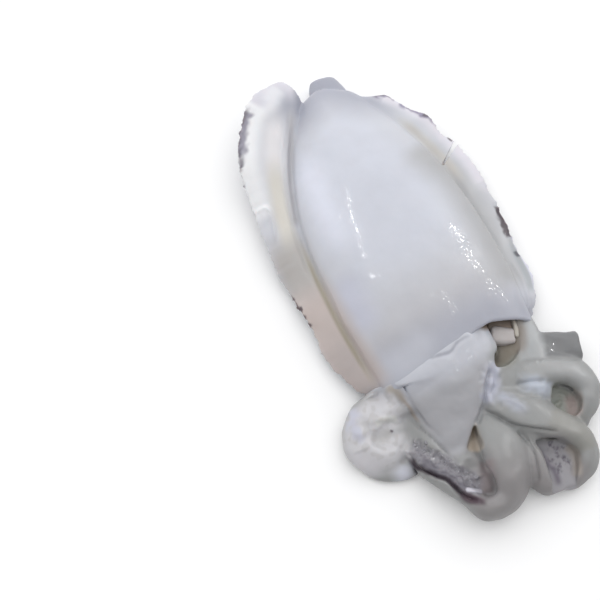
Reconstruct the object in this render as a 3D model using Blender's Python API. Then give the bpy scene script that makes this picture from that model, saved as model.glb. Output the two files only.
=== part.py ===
"""A whole raw cuttlefish, skinned and cleaned, lying on its back.

The belly is up: a domed mantle with a fin down each side, an open front edge, the funnel
and the head coming out of it, and eight arms that curl round beside and under the head.
It is one piece of flesh, so it is one closed solid. +Y runs from the arms to the tail and
+Z is up. The origin is under the middle of the animal, on the surface it lies on.
"""

import math

import bmesh
import bpy
from mathutils import Matrix, Vector, noise

MM = 0.001
NODE_NAME = "cuttlefish"

# Mantle, in millimetres. Its own zero is the middle of the front edge.
MANTLE_LENGTH = 168.0
MANTLE_HALF_WIDTH = 46.0
WIDEST_AT = 50.0
FRONT_NARROWING = 4.5
MIDLINE_X = 1.2
TAIL_SHIFT_X = 4.0
BELLY_HEIGHT = 37.0
BELLY_HIGHEST_AT = 80.0
LIP_DROP = 10.0
TAIL_HEIGHT = 9.0
SIDE_HEIGHT = 12.0
WALL = 2.8
OPENING_DEPTH = 13.0

# How its width and height fall off: towards the tail as (1 - share ** first) ** second, and
# towards the front edge by one power.
WIDTH_FALL = (1.8, 0.53)
HEIGHT_FALL = (2.1, 0.62)
LIP_FALL = 1.7
TAIL_SHIFT_FROM = 90.0
TAIL_SPACING = 1.35

# Its section: flat underneath, round at the sides, and more pointed on top towards the tail.
SIDE_SHARE = 0.6
SIDE_ROUNDNESS = 0.92
DOME_ROUNDNESS = 0.97
POINTED_FROM = 95.0
POINTED_OVER = 60.0
BASE_SINK = 2.0
BASE_ROUNDNESS = 0.6
SWELL_HEIGHT = 0.9
SWELL_SCALE = 0.025

# The front edge: its furthest point back, then (how far forwards, over what width, power) each side.
FRONT_EDGE_TOP = (20.0, 5.2)
LEFT_SLANT = (8.5, 55.0, 0.9)
RIGHT_CORNER = (4.6, 19.0, 1.6)

# Its left corner curves back: from which x, how far, over what width.
LEFT_CORNER = (-33.0, 3.5, 8.0)
FRONT_EDGE_REACH = 60.0
TURN_IN_FROM = 0.86
LINING_FROM = 0.92

# Fins, from the tail forwards: (root x, y, height), (rim x, y, height).
LEFT_FIN = (
    ((-7, 165, 10), (-9.5, 175, 16)), ((-12, 160, 11), (-16.5, 179, 18)), ((-17, 153, 12), (-32, 175, 18)),
    ((-22, 145, 12), (-44, 162, 18)), ((-27, 135, 11), (-52.5, 148, 16)),
    ((-31, 122, 10), (-57, 130, 12.5)), ((-36.5, 105, 9), (-58.5, 108, 9)),
    ((-42, 86, 8), (-61, 87, 7)), ((-44, 68, 8), (-60.5, 67, 6)), ((-43.5, 48, 8), (-58.5, 47, 6)),
    ((-42.5, 28, 8), (-59, 27, 6)), ((-41, 10, 8), (-53.5, 9, 5.5)), ((-39, 0, 8), (-45, -2, 6)))
RIGHT_FIN = (
    ((14, 162, 7), (20, 161, 7)), ((18, 156, 9), (27, 154, 8)), ((21, 147, 11), (35.5, 149, 9)),
    ((26, 136, 12), (43.5, 140, 10)), ((30, 125, 11), (50.5, 129, 10)), ((34, 113, 11), (54.8, 115, 9)),
    ((38, 101, 10), (59.5, 103, 8)), ((41.5, 88, 9), (62.5, 88, 7)), ((44, 70, 8), (62.5, 70, 6)),
    ((45.5, 50, 8), (60, 50, 6)), ((45.5, 30, 8), (57.5, 31, 6)), ((44, 13, 8), (54, 12, 6)),
    ((41, 2, 8), (45, 0, 7)))
LEFT_FIN_SWELL = (5.0, 1.5)
RIGHT_FIN_SWELL = (2.5, 0.5)
ROOT_INSET = 6.0
FIN_ROOT_THICKNESS = 7.0
FIN_RIM_THICKNESS = 2.4
FIN_RIPPLE = 1.1
FIN_RIPPLES = 5.5
FIN_RIPPLE_START = 1.3
FIN_UNDERSIDE = 0.3
RIM_UNEVENNESS = 0.8
RIM_UNEVENNESS_SCALE = (0.02, 0.11)

# Centre lines, as (x, y, height, half width) in millimetres from the middle of the front edge.
# Depth is a section's height for its width, and the roll turns the outer side off upright.
FUNNEL = ((-6, 24, 15.5, 26), (-7, 10, 16, 27.5), (-8.8, -3, 16, 28), (-10, -10, 15.5, 25.5),
          (-13, -17, 14.8, 20.5), (-15.5, -24, 13.8, 16), (-17.5, -30, 13, 12.5),
          (-20.3, -37, 12, 8.5), (-23, -44.5, 10.5, 5))
HEAD = ((3, 24, 10, 33), (4, 8, 10, 38), (6, -6, 9.5, 39), (9, -17, 9.5, 37), (11, -27, 9, 32),
        (11, -37, 8.5, 25), (8, -47, 8, 18), (5, -58, 7, 11))
NECK_SIDE = ((38, 16, 11, 5), (37.5, 3, 12, 6), (35.5, -9, 12.5, 7), (32, -20, 13, 8), (26, -30, 13, 8),
             (18, -36, 12, 6))
ARMS = {
    "upper_right": {
        "route": ((20, -9, 11, 7.5), (31, -12, 11.5, 8.4), (40, -15.4, 11.5, 8.2), (50, -19, 10.5, 7.8),
                  (58.5, -21.6, 10, 7.4)),
        "depth": 0.66, "roll": (0, 0), "squareness": 0.55, "tip": 0.03},
    "right": {
        "route": ((18, -22, 12.5, 7.5), (30, -24.5, 13.5, 7.8), (39.5, -27.6, 13.5, 7.8),
                  (47.4, -33.4, 12.5, 7.9), (50.4, -40.5, 10.5, 7.7), (47.2, -47.6, 9, 6.8),
                  (40.5, -52.5, 8, 5.4), (33, -55, 6.5, 3)),
        "depth": 0.8, "roll": (0, -60)},
    "lower_right": {
        "route": ((2, -21, 11, 6), (6, -29, 13.5, 8), (13.5, -38.5, 14.5, 9.6), (21, -46.2, 14, 9.6),
                  (28.5, -53.5, 12.5, 8.4), (34, -61.5, 11, 7.2), (34.5, -69, 9.5, 6.8),
                  (30, -75, 8, 6.2), (22, -78, 6.5, 5), (13, -77, 5.5, 3)),
        "depth": 0.72, "roll": (0, -60)},
    "front": {
        "route": ((-1.5, -27, 9, 4), (-3, -36, 12, 7.6), (-2.6, -46, 13.6, 11), (-3.4, -55, 13.5, 12.4),
                  (-6, -64.5, 12, 12), (-13, -72, 10.5, 9.7), (-22.5, -71, 9.5, 9.8),
                  (-26.3, -61.5, 9, 9.6), (-30.8, -51.5, 8.5, 9.3), (-35.5, -42.5, 8, 8.4),
                  (-39, -33, 7, 6.6), (-41.5, -23, 6, 4)),
        "depth": 0.68, "roll": (0, -165)},
    "front_under": {
        "route": ((8, -28, 9, 7), (9.5, -42, 9, 8.5), (9, -55, 8.5, 8), (8.2, -65, 8, 8.6),
                  (10.5, -73, 7, 7.6), (18, -72, 6.5, 7.5), (22, -64, 6.5, 7.5), (23, -56, 6, 6)),
        "depth": 0.9, "roll": (0, 150)},
    "left": {
        "route": ((-24, -12, 7.5, 8), (-37, -7, 8, 9), (-49, -6.5, 7.5, 9.4), (-59, -12, 7, 9),
                  (-63, -21, 6.5, 8.4), (-58, -28, 6, 7), (-50, -29, 5.5, 6), (-46, -23, 5, 4)),
        "depth": 0.72, "roll": (0, 40)},
    "left_under": {
        "route": ((-14, -28, 7, 8), (-22, -40, 6.5, 8.5), (-26, -51, 6, 8), (-22, -60, 5, 6.5),
                  (-14, -64, 4.5, 4)),
        "depth": 0.85, "roll": (0, 40)},
    "right_under": {
        "route": ((18, -28, 7, 8), (28, -36, 6.5, 8.5), (37, -42, 6, 8), (42, -50, 5.5, 6.6),
                  (38, -57, 4.5, 4)),
        "depth": 0.8, "roll": (0, -150)},
}

# Webs of skin between the arms: centre, half size and turn.
WEBS = (
    ((34, -38, 5), (18, 17, 4.5), 0), ((20, -62, 4.5), (16, 17, 4), 0), ((-12, -52, 6), (17, 18, 5), 0),
    ((-51, -19, 6.5), (15, 13, 4.6), 0), ((24, -31, 12), (15, 10, 4.5), -0.35),
    ((2, -20, 14), (11, 12, 5.5), 0.5), ((-31, -27, 6), (10, 15, 5), 0),
    ((36, -20, 11), (17, 8, 4.5), -0.25), ((-19, -54, 7), (11, 17, 6.5), 0.35),
    ((-29, -34, 8), (8, 13, 5), 0.3))
ARM_FLATTENING = 0.62
ARM_SQUARENESS = 0.8
TIP_ROUNDING = 0.05
TANGENT_STEP = 0.01
FUNNEL_DEPTH = 0.35
HEAD_DEPTH = 0.27
NECK_DEPTH = 0.7

TAIL_TIP = ((10, 148, 5, 11), (10.5, 158, 5, 11), (10.5, 166, 5, 10.2), (11, 171.5, 5, 8.5),
            (11.5, 175.5, 5, 6.5))
TAIL_TIP_DEPTH = 0.42
TAIL_TIP_FLATTENING = 0.9

# Hollows among the arms, and the gap between the funnel and the side of the neck. Each is cut
# straight down over its outline to a floor, which may slope from the outline's first point.
CAVITIES = {
    "behind_right_arm": {
        "outline": ((34.5, -34), (40, -36.5), (43.5, -41.5), (43.5, -47), (40, -51), (35.5, -51),
                    (31.5, -47), (30, -41)),
        "floor": 7.5, "slope": 0.0},
    "inside_lower_right_arm": {
        "outline": ((13, -54.5), (20, -56), (25.5, -60), (28.5, -66), (26.5, -72), (23, -78), (18, -86),
                    (8, -84), (10, -75), (11.5, -68), (13, -61)),
        "floor": 8.5, "slope": 0.0},
    "front_gap": {
        "outline": ((20, 12), (28, 11), (35.5, 8), (34.5, -3), (30.8, -10.4), (25.6, -16.5),
                    (17.7, -18.3), (12.6, -16.4), (13.2, -10.5), (18.5, -5)),
        "floor": 10.0, "slope": 0.0},
    "beside_funnel_tip": {
        "outline": ((-9.4, -34.5), (-13.5, -38), (-18, -43), (-16.5, -45.5), (-12.5, -46.5), (-10.5, -40)),
        "floor": 6.0, "slope": -0.55},
}
CAVITY_TOP = 50.0
OUTLINE_STEPS = 6

# The knob of cartilage in that gap, which locks the neck to the mantle.
KNOB_CENTRE = (24.8, -1.8, 13.4)
KNOB_HALF_SIZE = (4.7, 4.0, 4.5)
KNOB_TURN = math.radians(-20)
KNOB_BEVEL = 1.5

# The tear across the right fin, from its inner end to the rim.
TEAR_START = (47.0, 98.0)
TEAR_END = (62.0, 114.0)
TEAR_WIDTHS = (0.8, 3.0)
TEAR_HEIGHTS = (-5.0, 30.0)

# The middle of the bounding box, measured from the middle of the front edge.
BOX_MIDDLE = (-4.45, 47.85)

FUSING_VOXEL = 1.25
SMOOTHING_ROUNDS = 5
KEPT_SHARE_OF_FACES = 0.09
FLOOR_SLAB = (600.0, 600.0, 60.0)

# The grids that the skins are made from: vertices around, vertices lengthwise.
MANTLE_GRID = (96, 110)
FIN_GRID = (40, 130)
TAIL_TIP_GRID = (24, 24)
FUNNEL_GRID = (64, 64)
NECK_GRID = (32, 48)
ARM_GRID = (32, 80)
MERGE_DISTANCE = 0.02

FLESH_COLOUR = (0.70, 0.70, 0.74, 1.0)
FLESH_ROUGHNESS = 0.3


def object_from(mesh, name):
    data = bpy.data.meshes.new(name)
    mesh.to_mesh(data)
    mesh.free()
    thing = bpy.data.objects.new(name, data)
    bpy.context.scene.collection.objects.link(thing)
    return thing


def along(stations, share):
    """The point and half width on a smooth curve through the stations, at a share of its length."""
    points = [Vector(station) for station in stations]
    place = min(max(share, 0.0), 1.0) * (len(points) - 1)
    index = min(int(place), len(points) - 2)
    t = place - index
    before = points[index - 1] if index else 2 * points[0] - points[1]
    start, end = points[index], points[index + 1]
    after = points[index + 2] if index + 2 < len(points) else 2 * points[-1] - points[-2]
    return 0.5 * (2 * start + (end - before) * t
                  + (2 * before - 5 * start + 4 * end - after) * t * t
                  + (3 * start - before - 3 * end + after) * t * t * t)


def wrapped_solid(name, place, grid):
    """A closed skin: a grid whose long sides meet, with every vertex put where place(u, v) says."""
    mesh = bmesh.new()
    bmesh.ops.create_grid(mesh, x_segments=grid[0], y_segments=grid[1], size=0.5)
    for vertex in mesh.verts:
        vertex.co = Vector(place(vertex.co.x + 0.5, vertex.co.y + 0.5)) * MM
    bmesh.ops.remove_doubles(mesh, verts=mesh.verts, dist=MERGE_DISTANCE * MM)
    bmesh.ops.holes_fill(mesh, edges=mesh.edges)
    bmesh.ops.recalc_face_normals(mesh, faces=mesh.faces)
    return object_from(mesh, name)


def mantle_half_width(y):
    if y < WIDEST_AT:
        return MANTLE_HALF_WIDTH - FRONT_NARROWING * ((WIDEST_AT - y) / WIDEST_AT) ** 2
    share = min((y - WIDEST_AT) / (MANTLE_LENGTH - WIDEST_AT), 1.0)
    return MANTLE_HALF_WIDTH * (1 - share ** WIDTH_FALL[0]) ** WIDTH_FALL[1]


def mantle_height(y):
    if y < BELLY_HIGHEST_AT:
        return BELLY_HEIGHT - LIP_DROP * ((BELLY_HIGHEST_AT - y) / BELLY_HIGHEST_AT) ** LIP_FALL
    share = min((y - BELLY_HIGHEST_AT) / (MANTLE_LENGTH - BELLY_HIGHEST_AT), 1.0)
    fall = (1 - share ** HEIGHT_FALL[0]) ** HEIGHT_FALL[1]
    return TAIL_HEIGHT + (BELLY_HEIGHT - TAIL_HEIGHT) * fall


def mantle_middle(y):
    share = max(0.0, (y - TAIL_SHIFT_FROM) / (MANTLE_LENGTH - TAIL_SHIFT_FROM))
    return MIDLINE_X + TAIL_SHIFT_X * share ** 2


def front_edge(x):
    """How far the front edge lies from straight: it slants, and its right corner turns forwards."""
    top_x, top_y = FRONT_EDGE_TOP
    forwards, width, exponent = LEFT_SLANT if x < top_x else RIGHT_CORNER
    corner_from, corner_turn, corner_width = LEFT_CORNER
    corner = corner_turn * (max(0.0, corner_from - x) / corner_width) ** 2
    return top_y - forwards * (abs(x - top_x) / width) ** exponent + corner


def power(value, exponent):
    return math.copysign(abs(value) ** exponent, value)


def mantle_section(angle, y, inset):
    """A point on the mantle's section at y: a dome on a flat base, smaller by the inset."""
    across, upward = math.cos(angle), math.sin(angle)
    side = min(SIDE_HEIGHT, SIDE_SHARE * mantle_height(y))
    x = max(mantle_half_width(y) - inset, 0.0) * power(across, SIDE_ROUNDNESS)
    if upward > 0:
        pointed = min(max((y - POINTED_FROM) / POINTED_OVER, 0.0), 1.0)
        return x, side + max(mantle_height(y) - side - inset, 1.0) * upward ** (DOME_ROUNDNESS + pointed)
    return x, side - (side + BASE_SINK - inset) * abs(upward) ** BASE_ROUNDNESS


def mantle_point(u, v):
    """The outer skin runs from the tail to the front edge, turns in over it, and lines the opening."""
    angle = 2 * math.pi * u
    inset = 0.0
    if v < TURN_IN_FROM:
        y = MANTLE_LENGTH * (1 - v / TURN_IN_FROM) ** TAIL_SPACING
    elif v < LINING_FROM:
        turn = math.pi * (v - TURN_IN_FROM) / (LINING_FROM - TURN_IN_FROM)
        y = -0.5 * WALL * math.sin(turn)
        inset = 0.5 * WALL * (1 - math.cos(turn))
    else:
        y = OPENING_DEPTH * (v - LINING_FROM) / (1 - LINING_FROM)
        inset = WALL
    x, z = mantle_section(angle, max(y, 0.0), inset)
    y += front_edge(MIDLINE_X + x) * max(0.0, 1 - abs(y) / FRONT_EDGE_REACH) ** 2
    swell = SWELL_HEIGHT * noise.noise(Vector((x, y, z)) * SWELL_SCALE) * max(0.0, math.sin(angle))
    return mantle_middle(y) + x, y, z + swell


def fin_point(stations, swells):
    """The place function of a fin: u goes out over the upper face and back under the lower one."""
    roots = [(*root, 0) for root, rim in stations]
    rims = [(*rim, 0) for root, rim in stations]

    def place(u, v):
        reach = 1 - abs(2 * u - 1)
        root, rim = along(roots, v).xyz, along(rims, v).xyz
        outward = (rim - root).normalized()
        root = root - outward * ROOT_INSET
        along_rim = Vector((rim.x * RIM_UNEVENNESS_SCALE[0], rim.y * RIM_UNEVENNESS_SCALE[1], 0.0))
        width = (rim - root).length + RIM_UNEVENNESS * noise.noise(along_rim)
        point = root + outward * width * reach
        swell = swells[0] + (swells[1] - swells[0]) * v
        ripple = FIN_RIPPLE * math.sin(2 * math.pi * FIN_RIPPLES * v + FIN_RIPPLE_START) * reach ** 2
        thick = FIN_RIM_THICKNESS + (FIN_ROOT_THICKNESS - FIN_RIM_THICKNESS) * (1 - reach) ** 1.2
        edge = math.sqrt(max(0.0, 1 - reach ** 6)) * min(1.0, 0.3 + 8 * v, 0.3 + 8 * (1 - v))
        offset = 0.5 * thick * edge * (1 if u < 0.5 else -1)
        height = point.z + swell * math.sin(math.pi * reach ** 0.8) + ripple
        return point.x, point.y, max(height, 0.5 * thick + FIN_UNDERSIDE) + offset

    return place


def limb_point(stations, depth, roll, flattening, squareness=1.0, tip=TIP_ROUNDING):
    """The place function of an arm: an oval section, flatter on its inner side, swept on a curve."""
    def place(u, v):
        centre = along(stations, v)
        ahead, behind = along(stations, v + TANGENT_STEP), along(stations, v - TANGENT_STEP)
        tangent = (ahead - behind).xyz.normalized()
        up = (Vector((0, 0, 1)) - tangent * tangent.z).normalized()
        right = tangent.cross(up)
        turn = math.radians(roll[0] + (roll[1] - roll[0]) * v * v * (3 - 2 * v))
        outer = up * math.cos(turn) + right * math.sin(turn)
        side = tangent.cross(outer)
        end = min(1.0, v / tip, (1 - v) / tip)
        half = max(centre.w, 1.0) * math.sqrt(max(0.0, 1 - (1 - end) ** 2))
        angle = 2 * math.pi * u
        over, across = power(math.sin(angle), squareness), power(math.cos(angle), squareness)
        deep = depth * (over if over > 0 else flattening * over)
        return centre.xyz + side * (half * across) + outer * (half * deep)

    return place


def ellipsoid(name, centre, half_size, turn):
    mesh = bmesh.new()
    bmesh.ops.create_icosphere(mesh, subdivisions=4, radius=1.0)
    bmesh.ops.scale(mesh, verts=mesh.verts, vec=Vector(half_size) * MM)
    bmesh.ops.rotate(mesh, verts=mesh.verts, matrix=Matrix.Rotation(turn, 3, "Z"))
    bmesh.ops.translate(mesh, verts=mesh.verts, vec=Vector(centre) * MM)
    return object_from(mesh, name)


def knob():
    mesh = bmesh.new()
    bmesh.ops.create_cube(mesh, size=2.0)
    bmesh.ops.scale(mesh, verts=mesh.verts, vec=Vector(KNOB_HALF_SIZE) * MM)
    bmesh.ops.bevel(mesh, geom=mesh.edges[:], offset=KNOB_BEVEL * MM, offset_type="OFFSET", segments=3,
                    profile=0.5, affect="EDGES", material=-1)
    bmesh.ops.rotate(mesh, verts=mesh.verts, matrix=Matrix.Rotation(KNOB_TURN, 3, "Z"))
    bmesh.ops.translate(mesh, verts=mesh.verts, vec=Vector(KNOB_CENTRE) * MM)
    return object_from(mesh, "knob")


def as_cutter(thing):
    thing.hide_render = True
    thing.display_type = "WIRE"
    return thing


def tear_cutter():
    """A thin upright wedge that opens towards the rim of the right fin."""
    start, end = Vector(TEAR_START), Vector(TEAR_END)
    direction = (end - start).normalized()
    across = Vector((-direction.y, direction.x))
    corners = [start - across * TEAR_WIDTHS[0] / 2, end - across * TEAR_WIDTHS[1] / 2,
               end + across * TEAR_WIDTHS[1] / 2, start + across * TEAR_WIDTHS[0] / 2]
    mesh = bmesh.new()
    low, high = TEAR_HEIGHTS
    face = mesh.faces.new([mesh.verts.new((c.x * MM, c.y * MM, low * MM)) for c in corners])
    made = bmesh.ops.extrude_face_region(mesh, geom=[face])
    top = [item for item in made["geom"] if isinstance(item, bmesh.types.BMVert)]
    bmesh.ops.translate(mesh, verts=top, vec=(0, 0, (high - low) * MM))
    bmesh.ops.recalc_face_normals(mesh, faces=mesh.faces)
    return as_cutter(object_from(mesh, "fin_tear_cutter"))


def closed_curve(outline):
    """Points on a smooth closed curve through the outline."""
    stations = [(*point, 0) for point in (outline[-1], *outline, outline[0], outline[1])]
    first, last = 1 / (len(stations) - 1), (len(stations) - 2) / (len(stations) - 1)
    count = OUTLINE_STEPS * len(outline)
    return [along(stations, first + (last - first) * step / count).to_2d() for step in range(count)]


def cavity_cutter(name, outline, floor, slope):
    """An upright prism over an outline, with a floor that slopes along Y from the first point."""
    first_y = outline[0][1]
    mesh = bmesh.new()
    corners = [(x, y, floor + slope * (y - first_y)) for x, y in closed_curve(outline)]
    face = mesh.faces.new([mesh.verts.new(Vector(corner) * MM) for corner in corners])
    made = bmesh.ops.extrude_face_region(mesh, geom=[face])
    top = [item for item in made["geom"] if isinstance(item, bmesh.types.BMVert)]
    bmesh.ops.translate(mesh, verts=top, vec=(0, 0, CAVITY_TOP * MM))
    bmesh.ops.recalc_face_normals(mesh, faces=mesh.faces)
    return as_cutter(object_from(mesh, name + "_cutter"))


def floor_cutter():
    """A slab with its top at height 0: what lies under it is the flat that the animal rests on."""
    mesh = bmesh.new()
    bmesh.ops.create_cube(mesh, size=1.0)
    bmesh.ops.translate(mesh, verts=mesh.verts, vec=(0, 0, -0.5))
    bmesh.ops.scale(mesh, verts=mesh.verts, vec=Vector(FLOOR_SLAB) * MM)
    return as_cutter(object_from(mesh, "floor_cutter"))


def cut(thing, cutter, name):
    modifier = thing.modifiers.new(name, "BOOLEAN")
    modifier.operation = "DIFFERENCE"
    modifier.object = cutter


def apply_modifiers(thing):
    graph = bpy.context.evaluated_depsgraph_get()
    graph.update()
    finished = bpy.data.meshes.new_from_object(thing.evaluated_get(graph))
    thing.modifiers.clear()
    thing.data = finished


def keep_largest_body(data):
    """Drops the loose scraps that the cuts leave beside the animal."""
    mesh = bmesh.new()
    mesh.from_mesh(data)
    bodies, left = [], set(mesh.verts)
    while left:
        body = [left.pop()]
        for vertex in body:
            for edge in vertex.link_edges:
                other = edge.other_vert(vertex)
                if other in left:
                    left.discard(other)
                    body.append(other)
        bodies.append(body)
    bodies.sort(key=len)
    scraps = [vertex for body in bodies[:-1] for vertex in body]
    bmesh.ops.delete(mesh, geom=scraps, context="VERTS")
    mesh.to_mesh(data)
    mesh.free()


def flesh_material():
    material = bpy.data.materials.new("raw_flesh")
    material.use_nodes = True
    shader = material.node_tree.nodes["Principled BSDF"]
    shader.inputs["Base Color"].default_value = FLESH_COLOUR
    shader.inputs["Roughness"].default_value = FLESH_ROUGHNESS
    shader.inputs["Metallic"].default_value = 0.0
    return material


def torso_pieces():
    """The mantle, fins and tail tip, as overlapping closed skins."""
    return [
        wrapped_solid("mantle", mantle_point, MANTLE_GRID),
        wrapped_solid("left_fin", fin_point(LEFT_FIN, LEFT_FIN_SWELL), FIN_GRID),
        wrapped_solid("right_fin", fin_point(RIGHT_FIN, RIGHT_FIN_SWELL), FIN_GRID),
        wrapped_solid("tail_tip", limb_point(TAIL_TIP, TAIL_TIP_DEPTH, (0, 0), TAIL_TIP_FLATTENING),
                      TAIL_TIP_GRID),
    ]


def head_pieces():
    """The funnel, the head behind it and the side of the neck, as overlapping closed skins."""
    return [
        wrapped_solid("funnel", limb_point(FUNNEL, FUNNEL_DEPTH, (0, 0), 1.0), FUNNEL_GRID),
        wrapped_solid("head", limb_point(HEAD, HEAD_DEPTH, (0, 0), 1.0), FUNNEL_GRID),
        wrapped_solid("neck_side", limb_point(NECK_SIDE, NECK_DEPTH, (0, 0), 1.0), NECK_GRID),
    ]


def arm_pieces():
    pieces = []
    for name, arm in ARMS.items():
        place = limb_point(arm["route"], arm["depth"], arm["roll"], ARM_FLATTENING,
                           arm.get("squareness", ARM_SQUARENESS), arm.get("tip", TIP_ROUNDING))
        pieces.append(wrapped_solid("arm_" + name, place, ARM_GRID))
    return pieces


def web_pieces():
    return [ellipsoid("web", centre, half_size, turn) for centre, half_size, turn in WEBS]


def join(pieces, name):
    """One object that holds every piece's mesh, still overlapping."""
    whole = bmesh.new()
    for piece in pieces:
        whole.from_mesh(piece.data)
        bpy.data.objects.remove(piece)
    return object_from(whole, name)


def fuse(thing):
    remesh = thing.modifiers.new("fuse", "REMESH")
    remesh.mode = "VOXEL"
    remesh.voxel_size = FUSING_VOXEL * MM


def soften(thing):
    smooth = thing.modifiers.new("soften", "SMOOTH")
    smooth.factor = 0.5
    smooth.iterations = SMOOTHING_ROUNDS


def build():
    for thing in list(bpy.data.objects):
        bpy.data.objects.remove(thing)
    head = join(head_pieces() + arm_pieces() + web_pieces(), "head_and_arms")
    fuse(head)
    for name, cavity in CAVITIES.items():
        cut(head, cavity_cutter(name, cavity["outline"], cavity["floor"], cavity["slope"]), name)
    apply_modifiers(head)
    whole = join([head, knob()] + torso_pieces(), NODE_NAME)
    fuse(whole)
    soften(whole)
    thin = whole.modifiers.new("fewer_faces", "DECIMATE")
    thin.ratio = KEPT_SHARE_OF_FACES
    cut(whole, tear_cutter(), "fin_tear")
    cut(whole, floor_cutter(), "resting_flat")
    apply_modifiers(whole)
    keep_largest_body(whole.data)
    for thing in list(bpy.data.objects):
        if thing is not whole:
            bpy.data.objects.remove(thing)
    for vertex in whole.data.vertices:
        vertex.co.x -= BOX_MIDDLE[0] * MM
        vertex.co.y -= BOX_MIDDLE[1] * MM
    whole.data.materials.clear()
    whole.data.materials.append(flesh_material())
    whole.data.shade_smooth()


build()
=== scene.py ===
import math

import bmesh
import bpy
import numpy as np
from mathutils import Matrix, Vector, noise
from mathutils.bvhtree import BVHTree


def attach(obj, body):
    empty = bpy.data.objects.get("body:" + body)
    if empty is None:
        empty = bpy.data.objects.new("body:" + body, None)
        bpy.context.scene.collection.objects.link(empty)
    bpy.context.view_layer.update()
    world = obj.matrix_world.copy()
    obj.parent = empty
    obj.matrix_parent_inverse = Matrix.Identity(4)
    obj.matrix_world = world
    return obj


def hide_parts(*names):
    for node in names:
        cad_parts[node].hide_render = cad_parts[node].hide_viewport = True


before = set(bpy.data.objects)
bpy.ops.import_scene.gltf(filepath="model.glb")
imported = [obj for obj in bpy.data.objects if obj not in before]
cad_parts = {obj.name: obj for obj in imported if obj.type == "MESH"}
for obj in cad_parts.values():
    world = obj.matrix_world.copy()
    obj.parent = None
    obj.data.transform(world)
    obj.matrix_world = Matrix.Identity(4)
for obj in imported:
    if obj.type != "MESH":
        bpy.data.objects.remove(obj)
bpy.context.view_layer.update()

# A whole raw cuttlefish on its back. Shapes are in millimetres from the middle of the
# mantle's front edge, as in the solid, and each finished mesh is moved to the part's origin.
mm = 0.001
boxMiddle = (-4.45, 47.85)
noise.seed_set(7)  # each run then gives the same suckers and cartilage


def objectFrom(mesh, name):
    data = bpy.data.meshes.new(name)
    mesh.to_mesh(data)
    mesh.free()
    thing = bpy.data.objects.new(name, data)
    bpy.context.scene.collection.objects.link(thing)
    return thing


def curvePoint(stations, share):  # a smooth curve through the stations, at a share of its length
    points = [Vector(station) for station in stations]
    place = min(max(share, 0.0), 1.0) * (len(points) - 1)
    index = min(int(place), len(points) - 2)
    t = place - index
    before = points[index - 1] if index else 2 * points[0] - points[1]
    start, end = points[index], points[index + 1]
    after = points[index + 2] if index + 2 < len(points) else 2 * points[-1] - points[-2]
    return 0.5 * (2 * start + (end - before) * t
                  + (2 * before - 5 * start + 4 * end - after) * t * t
                  + (3 * start - before - 3 * end + after) * t * t * t)


def skinFrom(name, place, around, lengthwise):  # a grid rolled into a closed skin by place(u, v)
    mesh = bmesh.new()
    bmesh.ops.create_grid(mesh, x_segments=around, y_segments=lengthwise, size=0.5)
    for vertex in mesh.verts:
        vertex.co = Vector(place(vertex.co.x + 0.5, vertex.co.y + 0.5)) * mm
    bmesh.ops.remove_doubles(mesh, verts=mesh.verts, dist=0.02 * mm)
    bmesh.ops.holes_fill(mesh, edges=mesh.edges)
    bmesh.ops.recalc_face_normals(mesh, faces=mesh.faces)
    return objectFrom(mesh, name)


def joined(pieces, name):
    whole = bmesh.new()
    for piece in pieces:
        whole.from_mesh(piece.data)
        bpy.data.objects.remove(piece)
    return objectFrom(whole, name)


def applied(thing):  # bakes the modifiers into the mesh
    graph = bpy.context.evaluated_depsgraph_get()
    graph.update()
    finished = bpy.data.meshes.new_from_object(thing.evaluated_get(graph))
    thing.modifiers.clear()
    thing.data = finished
    return thing


def fused(thing, voxel):
    remesh = thing.modifiers.new("fuse", "REMESH")
    remesh.mode = "VOXEL"
    remesh.voxel_size = voxel * mm
    return applied(thing)


def softened(thing, rounds):
    smooth = thing.modifiers.new("soften", "SMOOTH")
    smooth.factor = 0.5
    smooth.iterations = rounds
    return applied(thing)


def carvedWith(thing, cutters):
    for cutter in cutters:
        modifier = thing.modifiers.new("carve", "BOOLEAN")
        modifier.operation = "DIFFERENCE"
        modifier.object = cutter
    applied(thing)
    for cutter in cutters:
        bpy.data.objects.remove(cutter)
    return thing


def withoutCrumbs(thing):  # keeps the largest connected part of a mesh
    mesh = bmesh.new()
    mesh.from_mesh(thing.data)
    parts = []
    for vertex in mesh.verts:
        if vertex.tag:
            continue
        vertex.tag = True
        part = [vertex]
        for reached in part:
            for edge in reached.link_edges:
                other = edge.other_vert(reached)
                if not other.tag:
                    other.tag = True
                    part.append(other)
        parts.append(part)
    parts.sort(key=len)
    crumbs = [vertex for part in parts[:-1] for vertex in part]
    bmesh.ops.delete(mesh, geom=crumbs, context="VERTS")
    mesh.to_mesh(thing.data)
    mesh.free()
    return thing


def ellipsoid(name, centre, halfSize, turn=0.0):
    mesh = bmesh.new()
    bmesh.ops.create_icosphere(mesh, subdivisions=4, radius=1.0)
    bmesh.ops.scale(mesh, verts=mesh.verts, vec=Vector(halfSize) * mm)
    bmesh.ops.rotate(mesh, verts=mesh.verts, matrix=Matrix.Rotation(turn, 3, "Z"))
    bmesh.ops.translate(mesh, verts=mesh.verts, vec=Vector(centre) * mm)
    return objectFrom(mesh, name)


# Mantle

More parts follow.
